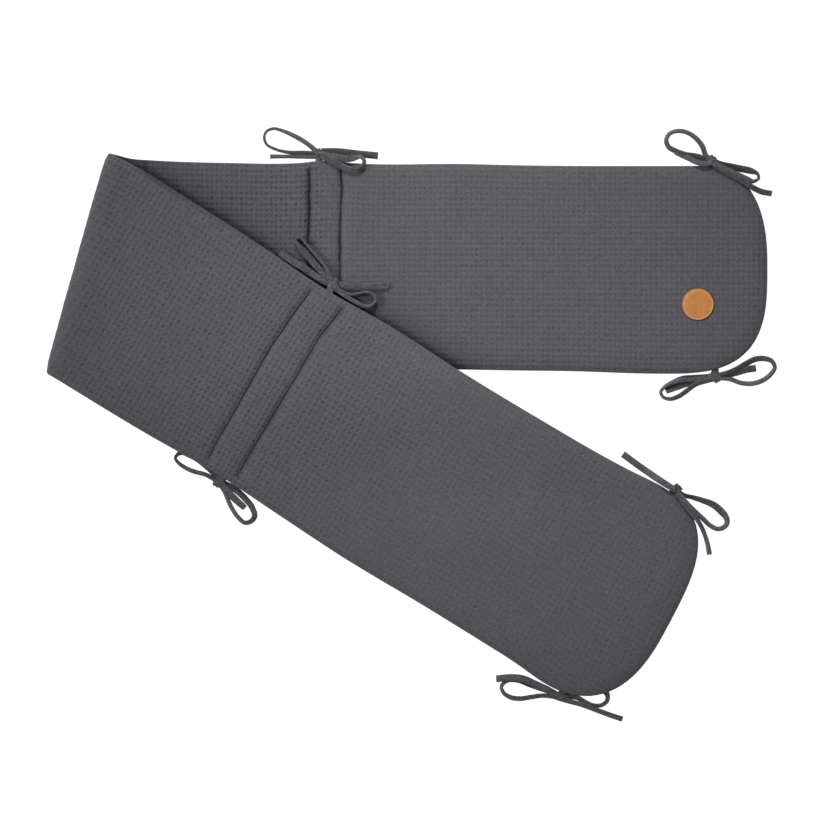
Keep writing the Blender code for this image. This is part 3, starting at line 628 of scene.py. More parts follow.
def outsideUpperArm(s, t):
    # seen from above: how far beyond the upper arm's edge a place on the lower arm is, and where along it
    flat, past = pastFold(s, t)
    other = flat - 2 * past[..., None] * foldOutward
    return other[..., 1] - halfWidths(-other[..., 0])[0], -other[..., 0]


def bell(offset, width):
    return np.exp(-(offset / width) ** 2)


def wavering(t, values, seed):
    height, size = values
    return height * softNoise(t, t * 0, size, seed)


def wrinkleShare(s, t, at, first, last, width):
    waver = wavering(t, padding["wrinkleWaver"], seeds["wrinkle"])
    fadeIn, fadeOut = padding["wrinkleFades"]
    return bell(s - at - waver, width) * eased((t - first) / fadeIn) * eased((last - t) / fadeOut)


def creaseShade(s, t, seamGap):
    # how much shade is painted on the cloth in the sewn lines and wrinkles: first for the outer face, then
    # for the inner one
    shade = np.zeros_like(s)
    lines = zip(stitchLines, padding["paintedStitchShade"], padding["paintedStitchShadeReach"])
    for number, (line, dark, reach) in enumerate(lines):
        waver = wavering(t, padding["creaseWaver"], seeds["creaseWaver"] + number)
        uneven = 1 + wavering(t, padding["creaseUneven"], seeds["creaseUneven"] + number)
        shade = np.maximum(shade, dark * bell(s - line - waver, reach) * uneven * heldBySewing(seamGap))
    inner = shade
    for *wrinkle, depth, dark in padding["wrinkles"]:
        inner = np.maximum(inner, dark * wrinkleShare(s, t, *wrinkle))
    # painted shadow on the cloth close beside the upper arm, and painted shade on that arm's own edge near
    # the fold
    under, edge = padding["paintedUnderArmShadow"], padding["paintedFoldEdgeShade"]
    beyond, armAt = outsideUpperArm(s, t)
    near = under["dark"] * np.exp(-np.maximum(beyond, 0) / under["reach"]) * eased(-s / under["from"])
    near = near * (1 - under["less"] * bell(armAt - under["lessAt"], under["lessOver"]))
    inner = 1 - (1 - inner) * (1 - near)
    # painted shade on the upper arm's edge near the fold, darkest at the seam
    paintedEdgeShade = edge["dark"] * np.clip(1 - seamGap / edge["reach"], 0, 1) ** edge["power"]
    paintedEdgeShade = paintedEdgeShade * eased(s / edge["from"]) * (1 - eased(s / edge["until"])) * (t > 0)
    shade = 1 - (1 - shade) * (1 - paintedEdgeShade)
    return np.clip(shade, 0, 1), np.clip(inner, 0, 1)


def latticeLines():
    anchors = (labelTip, *stitchLines[:2], 0.0, *stitchLines[2:], farTip)
    lines, start, counted = [], 0, {}
    for first, last, count in zip(anchors, anchors[1:], padding["cellsAlong"]):
        counted[first] = start
        for step in range(2 * count):
            lines.append((first + (last - first) * step / (2 * count), start + step / 2))
        start += count
    lines.append((farTip, start))
    for line in stitchLines:
        for step in (way * step for step in padding["grooveSteps"] for way in (1, -1)):
            lines.append((line + step, counted[line] + step * padding["cellsPerMetre"]))
    return np.array(sorted(lines)).T


def lengthsAlong(points):
    steps = np.linalg.norm(np.diff(points, axis=0), axis=1)
    return np.concatenate(([0], np.cumsum(steps)))


def spreadAcross(share, widths):
    # evenly woven cloth over a rounded edge: its cells look narrower there
    gap = np.linspace(padding["seamInset"], widths.max(), padding["edgeSamples"])
    cloth = lengthsAlong(np.column_stack((gap, edgeShare(gap) * strip["thickness"] / 2)))
    total = np.interp(widths, gap, cloth)
    return np.sign(share) * (widths - np.interp((1 - np.abs(share)) * total, cloth, gap))


def flatLattice():
    # the lattice cut along the outline: places (s, t, u, v) and faces, u and v counted in cells
    rowS, rowU = latticeLines()
    colV = np.arange(2 * padding["cellsAcross"] + 1) / 2
    share = colV / padding["cellsAcross"] * 2 - 1
    s = np.repeat(rowS[:, None], len(colV), axis=1)
    upper, lower = fullWidths(s)
    t = spreadAcross(share[None, :] + 0 * s, np.where(share > 0, upper, lower))
    u = np.repeat(rowU[:, None], len(colV), axis=1)
    v = np.repeat(colV[None, :], len(rowS), axis=0)
    places = np.stack((s, t, u, v), axis=-1).reshape(-1, 4)
    inside = (outsideBy(s, t) < padding["closeEnough"]).reshape(-1)
    index = np.arange(len(places)).reshape(s.shape)
    quads = np.stack((index[:-1, :-1], index[1:, :-1], index[1:, 1:], index[:-1, 1:]), axis=-1)
    quads = quads.reshape(-1, 4)
    kept = inside[quads].sum(axis=1)
    faces = [tuple(quad) for quad in quads[kept == 4]]
    places, crossings = list(places), {}

    def crossing(a, b):
        # the point on the outline between a, inside, and b, outside
        if (a, b) not in crossings:
            low, high = 0.0, 1.0
            for _ in range(padding["halvings"]):
                middle = (low + high) / 2
                point = places[a] + (places[b] - places[a]) * middle
                if outsideBy(point[0], point[1]) < 0:
                    low = middle
                else:
                    high = middle
            crossings[a, b] = len(places)
            places.append(places[a] + (places[b] - places[a]) * max(low, padding["leastCut"]))
        return crossings[a, b]

    for quad in quads[(kept > 0) & (kept < 4)]:
        face = []
        for a, b in zip(quad, np.roll(quad, -1)):
            if inside[a]:
                face.append(a)
            if inside[a] != inside[b]:
                face.append(crossing(a, b) if inside[a] else crossing(b, a))
        faces.append(tuple(face))
    used = sorted({corner for face in faces for corner in face})
    renumber = {old: new for new, old in enumerate(used)}
    return np.array([places[old] for old in used]), [tuple(renumber[c] for c in face) for face in faces]


def rimOf(faces):
    # the directed edges that only one face has
    edges = {(a, b) for face in faces for a, b in zip(face, face[1:] + face[:1])}
    return [(a, b) for a, b in edges if (b, a) not in edges]


def unit(directions):
    return directions / np.linalg.norm(directions, axis=-1)[..., None]


def outwardAt(s, t):
    step = 1e-5
    along = outsideBy(s + step, t) - outsideBy(s - step, t)
    across = outsideBy(s, t + step) - outsideBy(s, t - step)
    return unit(np.stack((along, across), axis=-1))


def outlineTree():
    share = (1 - np.cos(np.linspace(0, math.pi, padding["outlineSamples"]))) / 2
    s = labelTip + (farTip - labelTip) * share
    upper, lower = halfWidths(s)
    points = np.concatenate((np.column_stack((s, upper)), np.column_stack((s, -lower))))
    tree = KDTree(len(points))
    for number, (x, y) in enumerate(points):
        tree.insert((x, y, 0), number)
    tree.balance()
    return tree


def puckered(distance, pucker, x, y, seed):
    # cloth drawn in beside a line of sewing, more here and less there
    height, size = pucker
    near = np.exp(-distance / size) * eased(distance / padding["puckerFrom"])
    return height * near * (0.5 + 0.5 * softNoise(x, y, size, seed))


def fabricHeights(s, t, u, v, seamGap):
    # the two faces' heights with the weave's relief, soft ripples and the puckers beside the sewing
    outer, inner = facesHeights(s, seamGap)
    up = upShare(s)
    toStitches = np.min([np.abs(s - line) for line in stitchLines], axis=0)
    fade = eased(seamGap / padding["fadeAtSeam"]) * eased(toStitches / padding["fadeAtStitches"])
    bridges = padding["bridge"] + (1 - padding["bridge"]) * np.sin(np.pi * u) ** 2
    share, size = padding["unevenRelief"]
    uneven = 1 + share * softNoise(s, t, size, seeds["relief"])
    relief = panelValue(s, padding["relief"]) * fade * np.sin(np.pi * v) ** 2 * bridges * uneven
    lost, reach = padding["flatAtFold"]
    outerRelief = relief * (1 - lost * bell(pastFold(s, t)[1], reach))
    ripple = np.zeros_like(s)
    for number, (height, size) in enumerate(padding["ripples"]):
        ripple = ripple + height * softNoise(s, t, size, seeds["ripple"] + number)
    ripple = ripple * eased(seamGap / padding["rippleFrom"])
    pull = puckered(seamGap, padding["seamPucker"], s, t, seeds["seamPucker"])
    for number, line in enumerate(stitchLines):
        seed = seeds["stitchPucker"] + number
        outwards = s * padding["puckerStretch"]
        pull = pull + puckered(np.abs(s - line), padding["stitchPucker"], t, outwards, seed)
    outer = outer - outerRelief - pull + ripple * np.where(ripple > 0, up, 1)
    inner = inner - relief - pull + ripple * np.where(ripple > 0, 1 - up, 1)
    for *wrinkle, depth, dark in padding["wrinkles"]:
        inner = inner - depth * wrinkleShare(s, t, *wrinkle)
    return np.maximum(outer, padding["thinnest"]), np.maximum(inner, padding["thinnest"])


def addValues(mesh, name, parts):
    layer = mesh.attributes.new(name, "FLOAT", "POINT")
    layer.data.foreach_set("value", np.concatenate(parts).astype(np.float32))


def addWeave(mesh, cells):
    # where each corner is in the weave, counted in cells
    corners = np.zeros(len(mesh.loops), np.int32)
    mesh.loops.foreach_get("vertex_index", corners)
    layer = mesh.uv_layers.new(name="weave")
    layer.data.foreach_set("uv", cells[corners].astype(np.float32).ravel())


def addPad():
    places, faces = flatLattice()
    rim = rimOf(faces)
    ring = sorted({a for a, b in rim})
    tree = outlineTree()
    seamGap = np.array([tree.find((p[0], p[1], 0))[2] for p in places])
    seamGap = np.maximum(seamGap, padding["seamInset"])
    seamGap[ring] = padding["seamInset"]
    s, t, u, v = places.T
    outer, inner = fabricHeights(s, t, u, v, seamGap)
    outward = outwardAt(s[ring], t[ring])
    lip = places[ring][:, :2] + outward * (padding["seamInset"] - padding["seamLip"])
    seam = places[ring][:, :2] + outward * (padding["seamInset"] - padding["seamGroove"])
    count, rimCount = len(places), len(ring)
    lipHeight = facesHeights(lip[:, 0], np.full(rimCount, padding["lipHeight"]))
    onRing = {vertex: number for number, vertex in enumerate(ring)}
    points = []
    for flat, height, gap in (
        (places[:, :2], outer, seamGap), (places[:, :2], -inner, seamGap),
        (lip, lipHeight[0], padding["seamInset"]), (lip, -lipHeight[1], padding["seamInset"]),
        (seam, np.zeros(rimCount), padding["seamInset"]),
    ):
        points.append(folded(flat[:, 0] + bentBy(*flat.T), flat[:, 1], height, gap))
    made = faces + [tuple(c + count for c in reversed(face)) for face in faces]
    seamStart = 2 * count + 2 * rimCount
    for a, b in rim:
        p, q = onRing[a], onRing[b]
        for offset, lipStart, way in ((0, 2 * count, 1), (count, 2 * count + rimCount, -1)):
            lipLow, lipHigh = lipStart + p, lipStart + q
            made.append((b + offset, a + offset, lipLow, lipHigh)[::way])
            made.append((lipHigh, lipLow, seamStart + p, seamStart + q)[::way])
    bm = bmesh.new()
    corners = [bm.verts.new(point) for point in np.concatenate(points)]
    for face in made:
        bm.faces.new([corners[c] for c in face])
    mesh = meshOf(bm, "bumperPad")
    addWeave(mesh, np.concatenate((places, places, *[places[ring]] * 3))[:, 2:])
    # painted shade for the sewn lines, the wrinkles, beside the upper arm and on its edge near the fold
    shades = creaseShade(places[:, 0], places[:, 1], seamGap)
    addValues(mesh, "crease", (*shades, *[np.zeros(rimCount)] * 3))
    # how deep the pits' bump is and how much shade is painted in them, panel by panel
    for name in ("weaveDepth", "pitShade"):
        values = panelValue(s + bentBy(s, t), padding[name]) * eased(seamGap / padding["fadeAtSeam"])
        addValues(mesh, name, (values, values, *[values[ring]] * 3))
    piece = addPiece(mesh, waffleCotton, "bumper_pad")
    return piece


pad = addPad()
print("padded strip made:", len(pad.data.polygons), "faces")


def joinRings(bm, rings, layer=None, cellAt=None):
    # faces from each ring of corners to the next, with their places in the weave
    count = len(rings[0])
    for row, (low, high) in enumerate(zip(rings, rings[1:])):
        for k in range(count):
            face = bm.faces.new((low[k], low[(k + 1) % count], high[(k + 1) % count], high[k]))
            if cellAt:
                corners = ((row, k), (row, k + 1), (row + 1, k + 1), (row + 1, k))
                for loop, corner in zip(face.loops, corners):
                    loop[layer].uv = cellAt(*corner)


# thread along the four sewn lines, on both faces
stitching = {
    "length": 0.0032, "pitch": 0.0042, "thickness": 0.0006, "sides": 6, "stopsBefore": 0.011,
    "above": 0.00015,
    # share of the length, share of the thickness, lift; each stitch dips into the cloth at both ends
    "profile": ((0.0, 0.35, -1.4), (0.2, 0.9, -0.2), (0.5, 1.0, 0.3), (0.8, 0.9, -0.2), (1.0, 0.35, -1.4)),
}


def addStitches():
    bm = bmesh.new()
    for line in stitchLines:
        upper, lower = halfWidths(line)
        first, last = -lower + stitching["stopsBefore"], upper - stitching["stopsBefore"]
        for t in np.arange(first, last, stitching["pitch"]):
            bend = float(bentBy(np.array(line), np.array(t)))
            for side in (1, -1):
                addStitch(bm, line + bend, t, side)
    addPiece(meshOf(bm, "channelStitches"), sewingThread)


def addStitch(bm, line, t, side):
    half = stitching["thickness"] / 2
    rings = []
    for share, thick, lift in stitching["profile"]:
        at = t + (share - 0.5) * stitching["length"]
        height = strip["stitchedThickness"] / 2 + stitching["above"] + lift * half
        ring = []
        for angle in np.arange(stitching["sides"]) * 2 * math.pi / stitching["sides"]:
            across, up = half * thick * math.cos(angle), height + half * thick * math.sin(angle)
            ring.append(bm.verts.new(folded(np.array(line + across), np.array(at), np.array(side * up))))
        rings.append(ring)
    joinRings(bm, rings)
    bm.faces.new(rings[0][::-1])
    bm.faces.new(rings[-1])


addStitches()
print("channels stitched")

# the tapes: s is where a bow is sewn, off is how far its knot stands from the edge. Loops and tails
# are (right mm, up mm, twist, lift mm) from the knot, the lift left out where it is 0; twist is 0 where
# the tape lies flat and 90 on edge
tape = {
    "width": 0.010, "thickness": 0.0036, "step": 0.0022, "fewestSteps": 6, "seamAllowance": 0.002,
    "rootPoints": 7, "linkPoints": 4, "linkSeed": 7, "sharpFrom": math.radians(55),
    # how it rests: steepest slope, gap below it, places across it that feel for the ground, and from where
    "slope": 0.6, "seat": 0.0006, "restsAt": (-1.1, -0.5, 0, 0.5, 1.1), "dropFrom": 1.0,
    # the section's corners, as shares of the half width, then its top-stitched line: place, width, depth
    "section": (-1.0, -0.97, -0.86, -0.5, 0.0, 0.45, 0.58, 0.66, 0.74, 0.86, 0.97, 1.0), "softSides": 5,
    "topStitch": (0.66, 0.06, 0.30),
    # how much its thickness varies, over what length, and how far apart two tapes are in that
    "swell": (0.05, 0.006), "swellApart": 0.37,
    # in a bend it rises on its edge, this many points to each side of it, then smoothed
    "flattestBend": 1.5, "straight": 9.0, "raisedOver": 3, "smoothing": (1, 2, 3, 2, 1),
}
knotShape = {
    "size": (0.0125, 0.0160, 0.0095), "grows": (1.02, 1.12, 1.12), "around": 32, "across": 12,
    "squareness": 3.2, "ends": 0.98, "fullness": 0.94, "pinch": (0.35, 6),
    # depth, waves from end to end, and how far the waves shift around it
    "deepCreases": (0.055, 8.0, 1.3), "fineCreases": (0.03, 17.0, 2.0), "creasesApart": 40,
    "weaveSteps": (1.2, 0.95),
}
bows = {
    "tie_channel_1_top": {
        "s": -0.3297, "side": 1, "off": 0.0090, "turn": 8, "slant": -0.4, "rest": "top",
        "loops": (
            ((-3, 3, 55), (-13, 12, 58), (-36, 26, 62), (-50, 32, 72), (-63, 35, 82), (-72, 31, 86),
             (-75, 24, 88), (-72, 14, 88), (-60, 7, 86), (-44, 3, 76), (-20, 2, 68), (-3, 1, 66)),
            ((3, -2, 40, 2), (22, -12, 38, 1), (34, -18, 38, 1), (43, -22, 48, 1), (53, -22, 56, 1),
             (60, -16, 58, 2), (61, -8, 56, 4), (56, -4, 34, 5), (48, -5, 6, 5), (38, -6.5, 0, 5),
             (25, -5, 4, 5), (3, -1, 40, 3)),
        ),
        "tails": (
            ((-3, -2, 30), (-25, -3, 60), (-43, -3, 70), (-67, -3, 62)),
            ((3, 4, 30), (25, 4, 30), (52, 1, 30), (80, -2, 15)),
        ),
    },
    "tie_channel_1_bottom": {
        "s": -0.3377, "side": -1, "off": 0.0112, "turn": 0, "slant": -0.2, "rest": "floor",
        "loops": (
            ((-3, 1, 70), (-18, 3, 76), (-36, 4, 80), (-48, 0, 84), (-50, -7, 84), (-43, -12, 84),
             (-28, -11, 80), (-3, -3, 70)),
            ((3, 1, 70), (18, 3, 76), (36, 4, 80), (48, 0, 84), (50, -7, 84), (43, -12, 84),
             (28, -11, 80), (3, -3, 70)),
        ),
        "tails": (
            ((-2, -4, 10), (-14, -17, 5), (-30, -25, 0), (-52, -28, 0)),
            ((2, -4, 10), (14, -17, 5), (30, -25, 0), (52, -28, 0)),
        ),
    },
    "tie_channel_2_top": {
        "s": 0.3105, "side": 1, "off": 0.0105, "turn": 20, "slant": 0.28, "rest": "lower arm",
        "loops": (
            ((-3, 4, 20, 1), (-23, 26, 8), (-36, 41, 12), (-43, 49, 34), (-48.5, 56, 66), (-50.5, 60, 80),
             (-49, 63, 84), (-45.5, 64, 86), (-42, 62, 86), (-36, 54.5, 86), (-24, 41, 84), (-11, 25, 80),
             (-2, 6, 70, 1)),
            ((3, -4, 70, 1), (13, -9, 84, 1), (24, -13, 88, 1), (35, -12, 88, 1), (44, -10, 88, 1),
             (53, -12, 88, 1), (58, -19, 88, 1), (55, -26, 86, 2), (46, -29, 82, 3), (36, -26, 72, 4),
             (21, -17.5, 64, 4), (3, -6, 64, 2)),
        ),
        "tails": (
            ((-3, 1, 15, 1), (-12, 5, 8, 4), (-24.5, 12, 6, 6), (-41.5, 23.8, 6, 6), (-59.5, 34.4, 14, 5),
             (-73, 44, 24, 3)),
            ((3, 1, 20), (18, -2, 25), (36, -3, 15), (59, -2, 10), (75, -2, 10)),
        ),
    },
    "tie_channel_2_bottom": {
        "s": 0.3175, "side": -1, "off": 0.0072, "turn": -30, "slant": 0.2, "rest": "floor",
        "pairs": ((0, 1), (1, 0)),  # which loop goes with which tail
        "loops": (
            ((-3, 1, 60), (-20, 10, 66), (-35, 14, 64), (-48, 20, 70), (-57, 27, 72), (-60, 32, 72),
             (-57, 37, 66), (-50, 40, 40), (-43, 38, 6), (-34, 34, 0), (-20, 24, 0), (-9, 14, 10),
             (-1, 4, 30)),
            ((1, -3, 50), (8, -15, 58), (11, -23, 62), (17, -36, 62), (26, -49, 62), (35, -56, 62),
             (43, -54, 56), (48, -47, 48), (45, -36, 46), (35, -23, 38), (22, -11, 34), (4, -1, 40)),
        ),
        "tails": (
            ((1, -1, 20, 3), (13, -15, 20, 5), (24, -26, 25, 5), (35, -36, 40, 4)),
            ((-1, 1, 50), (-4, -2, 55), (-9, -3, 60)),
        ),
    },
    "tie_far_end_top": {
        "s": 0.8604, "side": 1, "off": 0.0062, "turn": -45, "slant": 0.0, "rest": "top",
        "pairs": ((0, 1), (None, 0)),  # which loop goes with which tail
        "loops": (
            ((3, -2, 60), (11, -7, 62), (23, -10, 60), (36, -14, 48), (51, -20, 26), (62, -29, 14),
             (69, -38, 46), (70, -45, 56), (65, -51, 60), (57, -53, 62), (48, -49, 60), (36, -38, 58),
             (23, -26, 60), (3, -5, 58)),
        ),
        "tails": (
            ((-2, 1, 40), (-9, 5, 34), (-20, 12, 26), (-36, 23, 26), (-53, 35, 28), (-72, 49, 24)),
            ((1, -4, 56), (9, -16, 58), (20, -30, 60), (30, -42, 64), (38, -57, 66), (43, -72, 64),
             (46, -88, 58)),
        ),
    },
    "tie_far_end_bottom": {
        "s": 0.8597, "side": -1, "off": 0.0084, "turn": 35, "slant": -0.7, "rest": "floor",
        "loops": (
            ((-3, 3, 60), (-20, 10, 50), (-40, 17, 50), (-58, 23, 60), (-72, 22, 70), (-79, 14, 74),
             (-76, 6, 68), (-67, 0, 58), (-54, -2, 55), (-39, 0, 58), (-25, 2, 60), (-3, 0, 60)),
            ((3, 0, 55), (25, -1, 56), (36, -7, 62), (46, -11, 66), (57, -11, 64), (65, -5, 62),
             (65.5, 3, 56), (59, 10, 30), (52, 11, 4), (38, 8, 0), (22, 7, 4), (5, 3, 30)),
        ),
        "tails": (
            ((-2, 2, 20, 4), (-16, 10, 18, 6), (-33, 18, 18, 7), (-49, 25, 20, 7), (-64, 27, 24, 6),
             (-86, 25, 24, 4)),
            ((2, -2, 50), (11, -5, 54), (30, -10, 54), (49, -17, 54), (68, -24, 52), (86, -30, 48)),
        ),
    },
    "tie_label_end_top": {
        "s": -0.8643, "side": 1, "off": 0.0064, "turn": -35, "slant": -0.2, "rest": "top",
        "loops": (
            ((-1, 3, 50), (-8, 9, 50), (-12, 20, 50), (-19, 30, 52), (-29, 38, 58), (-40, 42, 60),
             (-49, 42, 64), (-58, 38, 68), (-62, 30, 66), (-59, 21, 58), (-49, 15, 54), (-35, 10, 50),
             (-21, 8, 50), (-3, 2, 50)),
            ((3, 1, 50), (12, -3, 36), (27, -6.5, 26), (42, -9.5, 24), (55, -12.5, 34), (63, -17, 56),
             (64, -22, 60), (57, -26, 48, 1), (46, -23, 44, 1), (33, -17, 44, 1), (18, -10, 44, 1),
             (2, -2, 44, 1)),
        ),
        "tails": (
            ((-1, -1, 50), (-9, -3, 44), (-19, -1, 40), (-33, 6, 40), (-50, 14, 50)),
            ((2, -3, 40), (24, -16, 46), (41, -26, 52), (55, -35, 50), (66, -40, 46), (82, -43, 48)),
        ),
    },
    "tie_label_end_bottom": {
        "s": -0.8688, "side": -1, "off": 0.0101, "turn": 35, "slant": -0.2, "rest": "top",
        "loops": (
            ((-3, 0, 20, 2), (-14, -1, 15, 3), (-30, -2, 12, 3), (-44, -3, 25, 3), (-57, -7, 60, 2),
             (-68, -13, 74), (-74, -21, 80), (-71, -27, 78), (-63, -30, 70), (-51, -27, 60),
             (-40, -20, 58), (-28, -11, 58), (-3, -3, 56)),
            ((3, 2, 50, 1), (16, 5, 50, 2), (28, 10, 48, 2), (42, 18, 46, 1), (56, 24.5, 44),
             (68, 25, 50), (78, 21, 66), (81.5, 13, 70), (76, 4, 62), (64, -5, 58), (50, -9, 58),
             (35, -8, 60), (21, -3, 60), (3, -1, 60)),
        ),
        "tails": (
            ((-3, -1, 10), (-20, -4, 8), (-40, -9, 10), (-54, -14, 20), (-67, -19, 45)),
            ((3, 1, 20), (14, 3, 15), (28, 6, 12), (42, 10, 20), (56, 12, 25)),
        ),
    },
}
padFaces = [tuple(face.vertices) for face in pad.data.polygons]
padTree = BVHTree.FromPolygons([vertex.co for vertex in pad.data.vertices], padFaces)


def heightBelow(x, y, start):
    hit = padTree.ray_cast(Vector((x, y, start)), Vector((0, 0, -1)))[0]
    return hit.z if hit else 0.0


def evenRoute(rows):
    # points every few millimetres on a smooth line through the rows
    rows = np.array([(*row, 0)[:4] for row in rows], float)
    along = lengthsAlong(rows[:, :2])
    count = max(tape["fewestSteps"], math.ceil(along[-1] / 1000 / tape["step"]))
    at = np.linspace(0, along[-1], count + 1)
    return np.column_stack([throughRows(at, along, column) for column in rows.T])


def uprightInBends(plan, twist):
    # raises the tape on its edge where it would crease in a tight bend
    steps = np.diff(plan, axis=0)
    heading = np.unwrap(np.arctan2(steps[:, 1], steps[:, 0]))
    turn = np.abs(np.diff(heading)) + 1e-6
    radius = np.hypot(*(steps[1:] + steps[:-1]).T) / 2 / turn
    radius = np.pad(radius, tape["raisedOver"] + 1, constant_values=tape["straight"])
    radius = np.min([radius[k:k + len(plan)] for k in range(2 * tape["raisedOver"] + 1)], axis=0)
    widest = np.clip((tape["flattestBend"] * radius - tape["thickness"]) / tape["width"], 0.0, 1.0)
    raised = np.maximum(twist, np.arccos(widest))
    kernel = np.array(tape["smoothing"]) / sum(tape["smoothing"])
    return np.convolve(np.pad(raised, len(kernel) // 2, mode="edge"), kernel, mode="valid")


def laidTape(rows, knot, rest):
    # the route of a loop or tail, lifted onto what it lies on: points and twists
    points = evenRoute(rows)
    plan = np.array(knot[:2]) + points[:, :2] / 1000
    ahead = np.gradient(plan, axis=0)
    twist = uprightInBends(plan, np.radians(points[:, 2]))
    side = unit(np.column_stack((-ahead[:, 1], ahead[:, 0])))
    wide, thick = tape["width"], tape["thickness"]
    half = (wide * np.abs(np.cos(twist)) + thick * np.abs(np.sin(twist))) / 2
    tall = wide * np.abs(np.sin(twist)) + thick * np.abs(np.cos(twist))
    ground = np.zeros(len(plan))
    if rest != "floor":
        start = underUpperArm if rest == "lower arm" else tape["dropFrom"]
        for share in tape["restsAt"]:
            at = plan + side * (half * share)[:, None]
            ground = np.maximum(ground, [heightBelow(x, y, start) for x, y in at])
    along = lengthsAlong(plan)
    apart = np.abs(along[:, None] - along[None, :])
    ground = (ground[None, :] - tape["slope"] * apart).max(axis=1)
    z = ground + points[:, 3] / 1000 + tall / 2 + tape["seat"]
    return np.column_stack((plan, z)), twist


def tapeSection():
    # folded cloth, flat with soft sides, and a shallow line of top-stitching near one side
    shares = np.array(tape["section"])
    place, width, depth = tape["topStitch"]
    thick = np.sqrt(np.clip(1 - np.abs(shares) ** tape["softSides"], 0, 1))
    thick = thick * (1 - depth * bell(shares - place, width))
    top = np.column_stack((shares, thick))
    bottom = top[-2:0:-1] * (1, -1)
    return np.concatenate((top, bottom)) * (tape["width"] / 2, tape["thickness"] / 2)


section = tapeSection()


def sweepTape(bm, layer, points, twists, seed):
    # a flat tape along the points, with capped ends
    ahead = unit(np.gradient(points, axis=0))
    right = unit(np.column_stack((ahead[:, 1], -ahead[:, 0], np.zeros(len(ahead)))))
    over = np.cross(right, ahead)
    cos, sin = np.cos(twists)[:, None], np.sin(twists)[:, None]
    wide, up = right * cos - over * sin, right * sin + over * cos
    along = lengthsAlong(points)
    share, size = tape["swell"]
    swell = 1 + share * softNoise(along, along * 0 + seed * tape["swellApart"], size, seeds["tape"])
    rings = []
    for place, w, n, grow in zip(points, wide, up, swell):
        rings.append([bm.verts.new(place + w * x + n * y * grow) for x, y in section])
    girth = lengthsAlong(np.vstack((section, section[:1])))
    joinRings(bm, rings, layer, lambda row, k: (along[row] * 1000, girth[k] * 1000))
    ends = ((rings[0], along[0], section), (rings[-1][::-1], along[-1], section[::-1]))
    for ring, place, corners in ends:
        face = bm.faces.new(ring)
        for loop, (x, y) in zip(face.loops, corners):
            loop[layer].uv = ((place + y) * 1000, x * 1000)


def besideStrip(bow, beyond):
    # the place where a bow is sewn, this far beyond the strip's edge
    s = np.array(bow["s"])
    upper, lower = halfWidths(s)
    edge = upper if bow["side"] > 0 else -lower
    return folded(s, np.array(edge + bow["side"] * beyond), np.array(0.0))


def knotPlace(bow):
    x, y, _ = besideStrip(bow, bow["off"])
    z = 0.0
    if bow["rest"] == "lower arm":
        reach = knotShape["size"][0] / 2
        around = [(x + a * reach, y + b * reach) for a in (-1, 0, 1) for b in (-1, 0, 1)]
        z = max(heightBelow(px, py, underUpperArm) for px, py in around)
    return Vector((x, y, z + knotShape["size"][2] / 2 + tape["seat"]))


def tapeMesh():
    # an empty mesh and the layer that says where its faces are in the weave
    bm = bmesh.new()
    return bm, bm.loops.layers.uv.new("weave")


def addKnot(name, node, bow, knot):
    # the pulled-in middle: a short tape wrapped round the loops, creased and a little slanted
    size = np.array(knotShape["size"]) * knotShape["grows"] / 2
    around, across, power = knotShape["around"], knotShape["across"], knotShape["squareness"]
    deep, deepAcross, deepAround = knotShape["deepCreases"]
    fine, fineAcross, fineAround = knotShape["fineCreases"]
    pinched, pinchPower = knotShape["pinch"]
    bm, layer = tapeMesh()
    rings = []
    for w in np.linspace(-1, 1, across + 1):
        ring = []
        for a in np.arange(around) * 2 * math.pi / around:
            square = (abs(math.cos(a)) ** power + abs(math.sin(a)) ** power) ** (-1 / power)
            sway = deepAround * math.sin(a + knot.x * knotShape["creasesApart"])
            crease = deep * math.sin(deepAcross * w + sway)
            crease += fine * math.sin(fineAcross * w + fineAround * a)
            pinch = 1 - pinched + pinched * math.sqrt(max(1 - abs(w) ** pinchPower, 0))
            radius = square * pinch * (knotShape["fullness"] + crease)
            y, z = size[1] * radius * math.cos(a), size[2] * radius * math.sin(a)
            x = size[0] * w * knotShape["ends"] + bow["slant"] * y
            ring.append(bm.verts.new((x, y, max(z, -size[2]))))
        rings.append(ring)
    long, wide = knotShape["weaveSteps"]
    joinRings(bm, rings, layer, lambda row, k: (k * long, row * wide))
    bm.faces.new(rings[0][::-1])
    bm.faces.new(rings[-1])
    mesh = meshOf(bm, name)
    mesh.transform(Matrix.Translation(knot) @ Matrix.Rotation(math.radians(bow["turn"]), 4, "Z"))
    return addPiece(mesh, cottonTape, node)


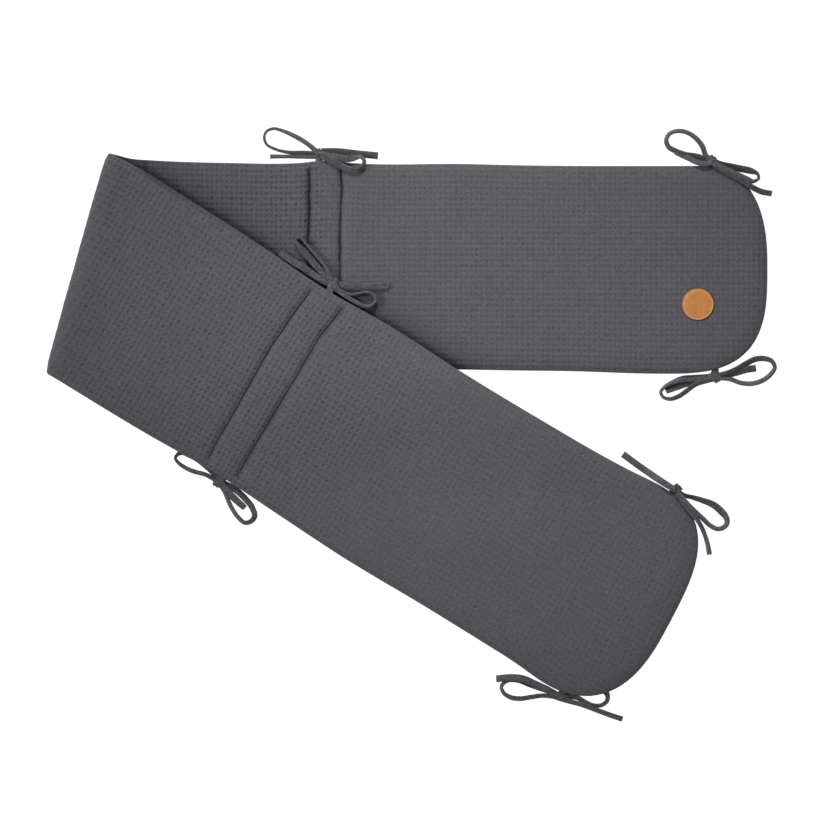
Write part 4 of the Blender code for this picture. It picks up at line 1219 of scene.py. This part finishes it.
def addBow(node, bow):
    knot, seam = knotPlace(bow), Vector(besideStrip(bow, -tape["seamAllowance"]))
    name = "bow" + "".join(word.capitalize() for word in node.split("_")[1:])
    knotPiece = addKnot(name + "Knot", node, bow, knot)
    root = np.array([seam.lerp(knot, share) for share in np.linspace(0, 1, tape["rootPoints"])])
    for number, (loop, tail) in enumerate(bow.get("pairs", ((0, 0), (1, 1)))):
        strands = [(root, np.zeros(len(root)))] if number == 0 else []
        if loop is not None:
            strands.append(laidTape(bow["loops"][loop], knot, bow["rest"]))
        strands.append(laidTape(bow["tails"][tail], knot, bow["rest"]))
        bm, layer = tapeMesh()
        for seed, (points, twists) in enumerate(strands):
            sweepTape(bm, layer, points, twists, 10 * number + seed)
        count = tape["linkPoints"]
        for (before, _), (after, _) in zip(strands, strands[1:]):
            link = np.linspace(before[-1], after[0], count)
            sweepTape(bm, layer, link, np.zeros(count), tape["linkSeed"])
        piece = addPiece(meshOf(bm, f"{name}Tape{number + 1}"), cottonTape, node)
        piece.data.set_sharp_from_angle(angle=tape["sharpFrom"])


for node, bow in bows.items():
    addBow(node, bow)
print("bows tied:", len(bows))

# the round leather label, with a ring pressed in near its rim
label = {
    "steps": 96, "waver": (0.02, 0.006), "waversWithin": 0.97,
    # share of the radius, share of the thickness
    "profile": (
        (0.0, 0.97), (0.30, 0.99), (0.60, 0.97), (0.80, 0.98), (0.835, 0.94), (0.86, 0.74), (0.90, 0.74),
        (0.925, 0.93), (0.95, 0.97), (0.975, 0.93), (0.992, 0.80), (1.0, 0.60), (1.0, 0.25), (0.99, 0.0),
    ),
}


def addLabel():
    low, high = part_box("leather_label")
    radius, thickness = (high.x - low.x) / 2, high.z - low.z
    height, size = label["waver"]
    bm = bmesh.new()
    rings = []
    for share, level in label["profile"][1:]:
        ring = []
        for a in np.arange(label["steps"]) * 2 * math.pi / label["steps"]:
            x, y = radius * share * math.cos(a), radius * share * math.sin(a)
            waver = height * softNoise(x, y, size, seeds["label"]) if share < label["waversWithin"] else 0
            ring.append(bm.verts.new((x, y, thickness * (level - 0.5 + waver))))
        rings.append(ring)
    joinRings(bm, rings)
    for ring, level in ((rings[0], label["profile"][0][1]), (rings[-1], 0.0)):
        middle = bm.verts.new((0, 0, thickness * (level - 0.5)))
        for first, second in zip(ring, ring[1:] + ring[:1]):
            bm.faces.new((middle, first, second))
    addPiece(meshOf(bm, "leatherLabel"), tanLeather, "leather_label", (low + high) / 2)


addLabel()
print("label made")
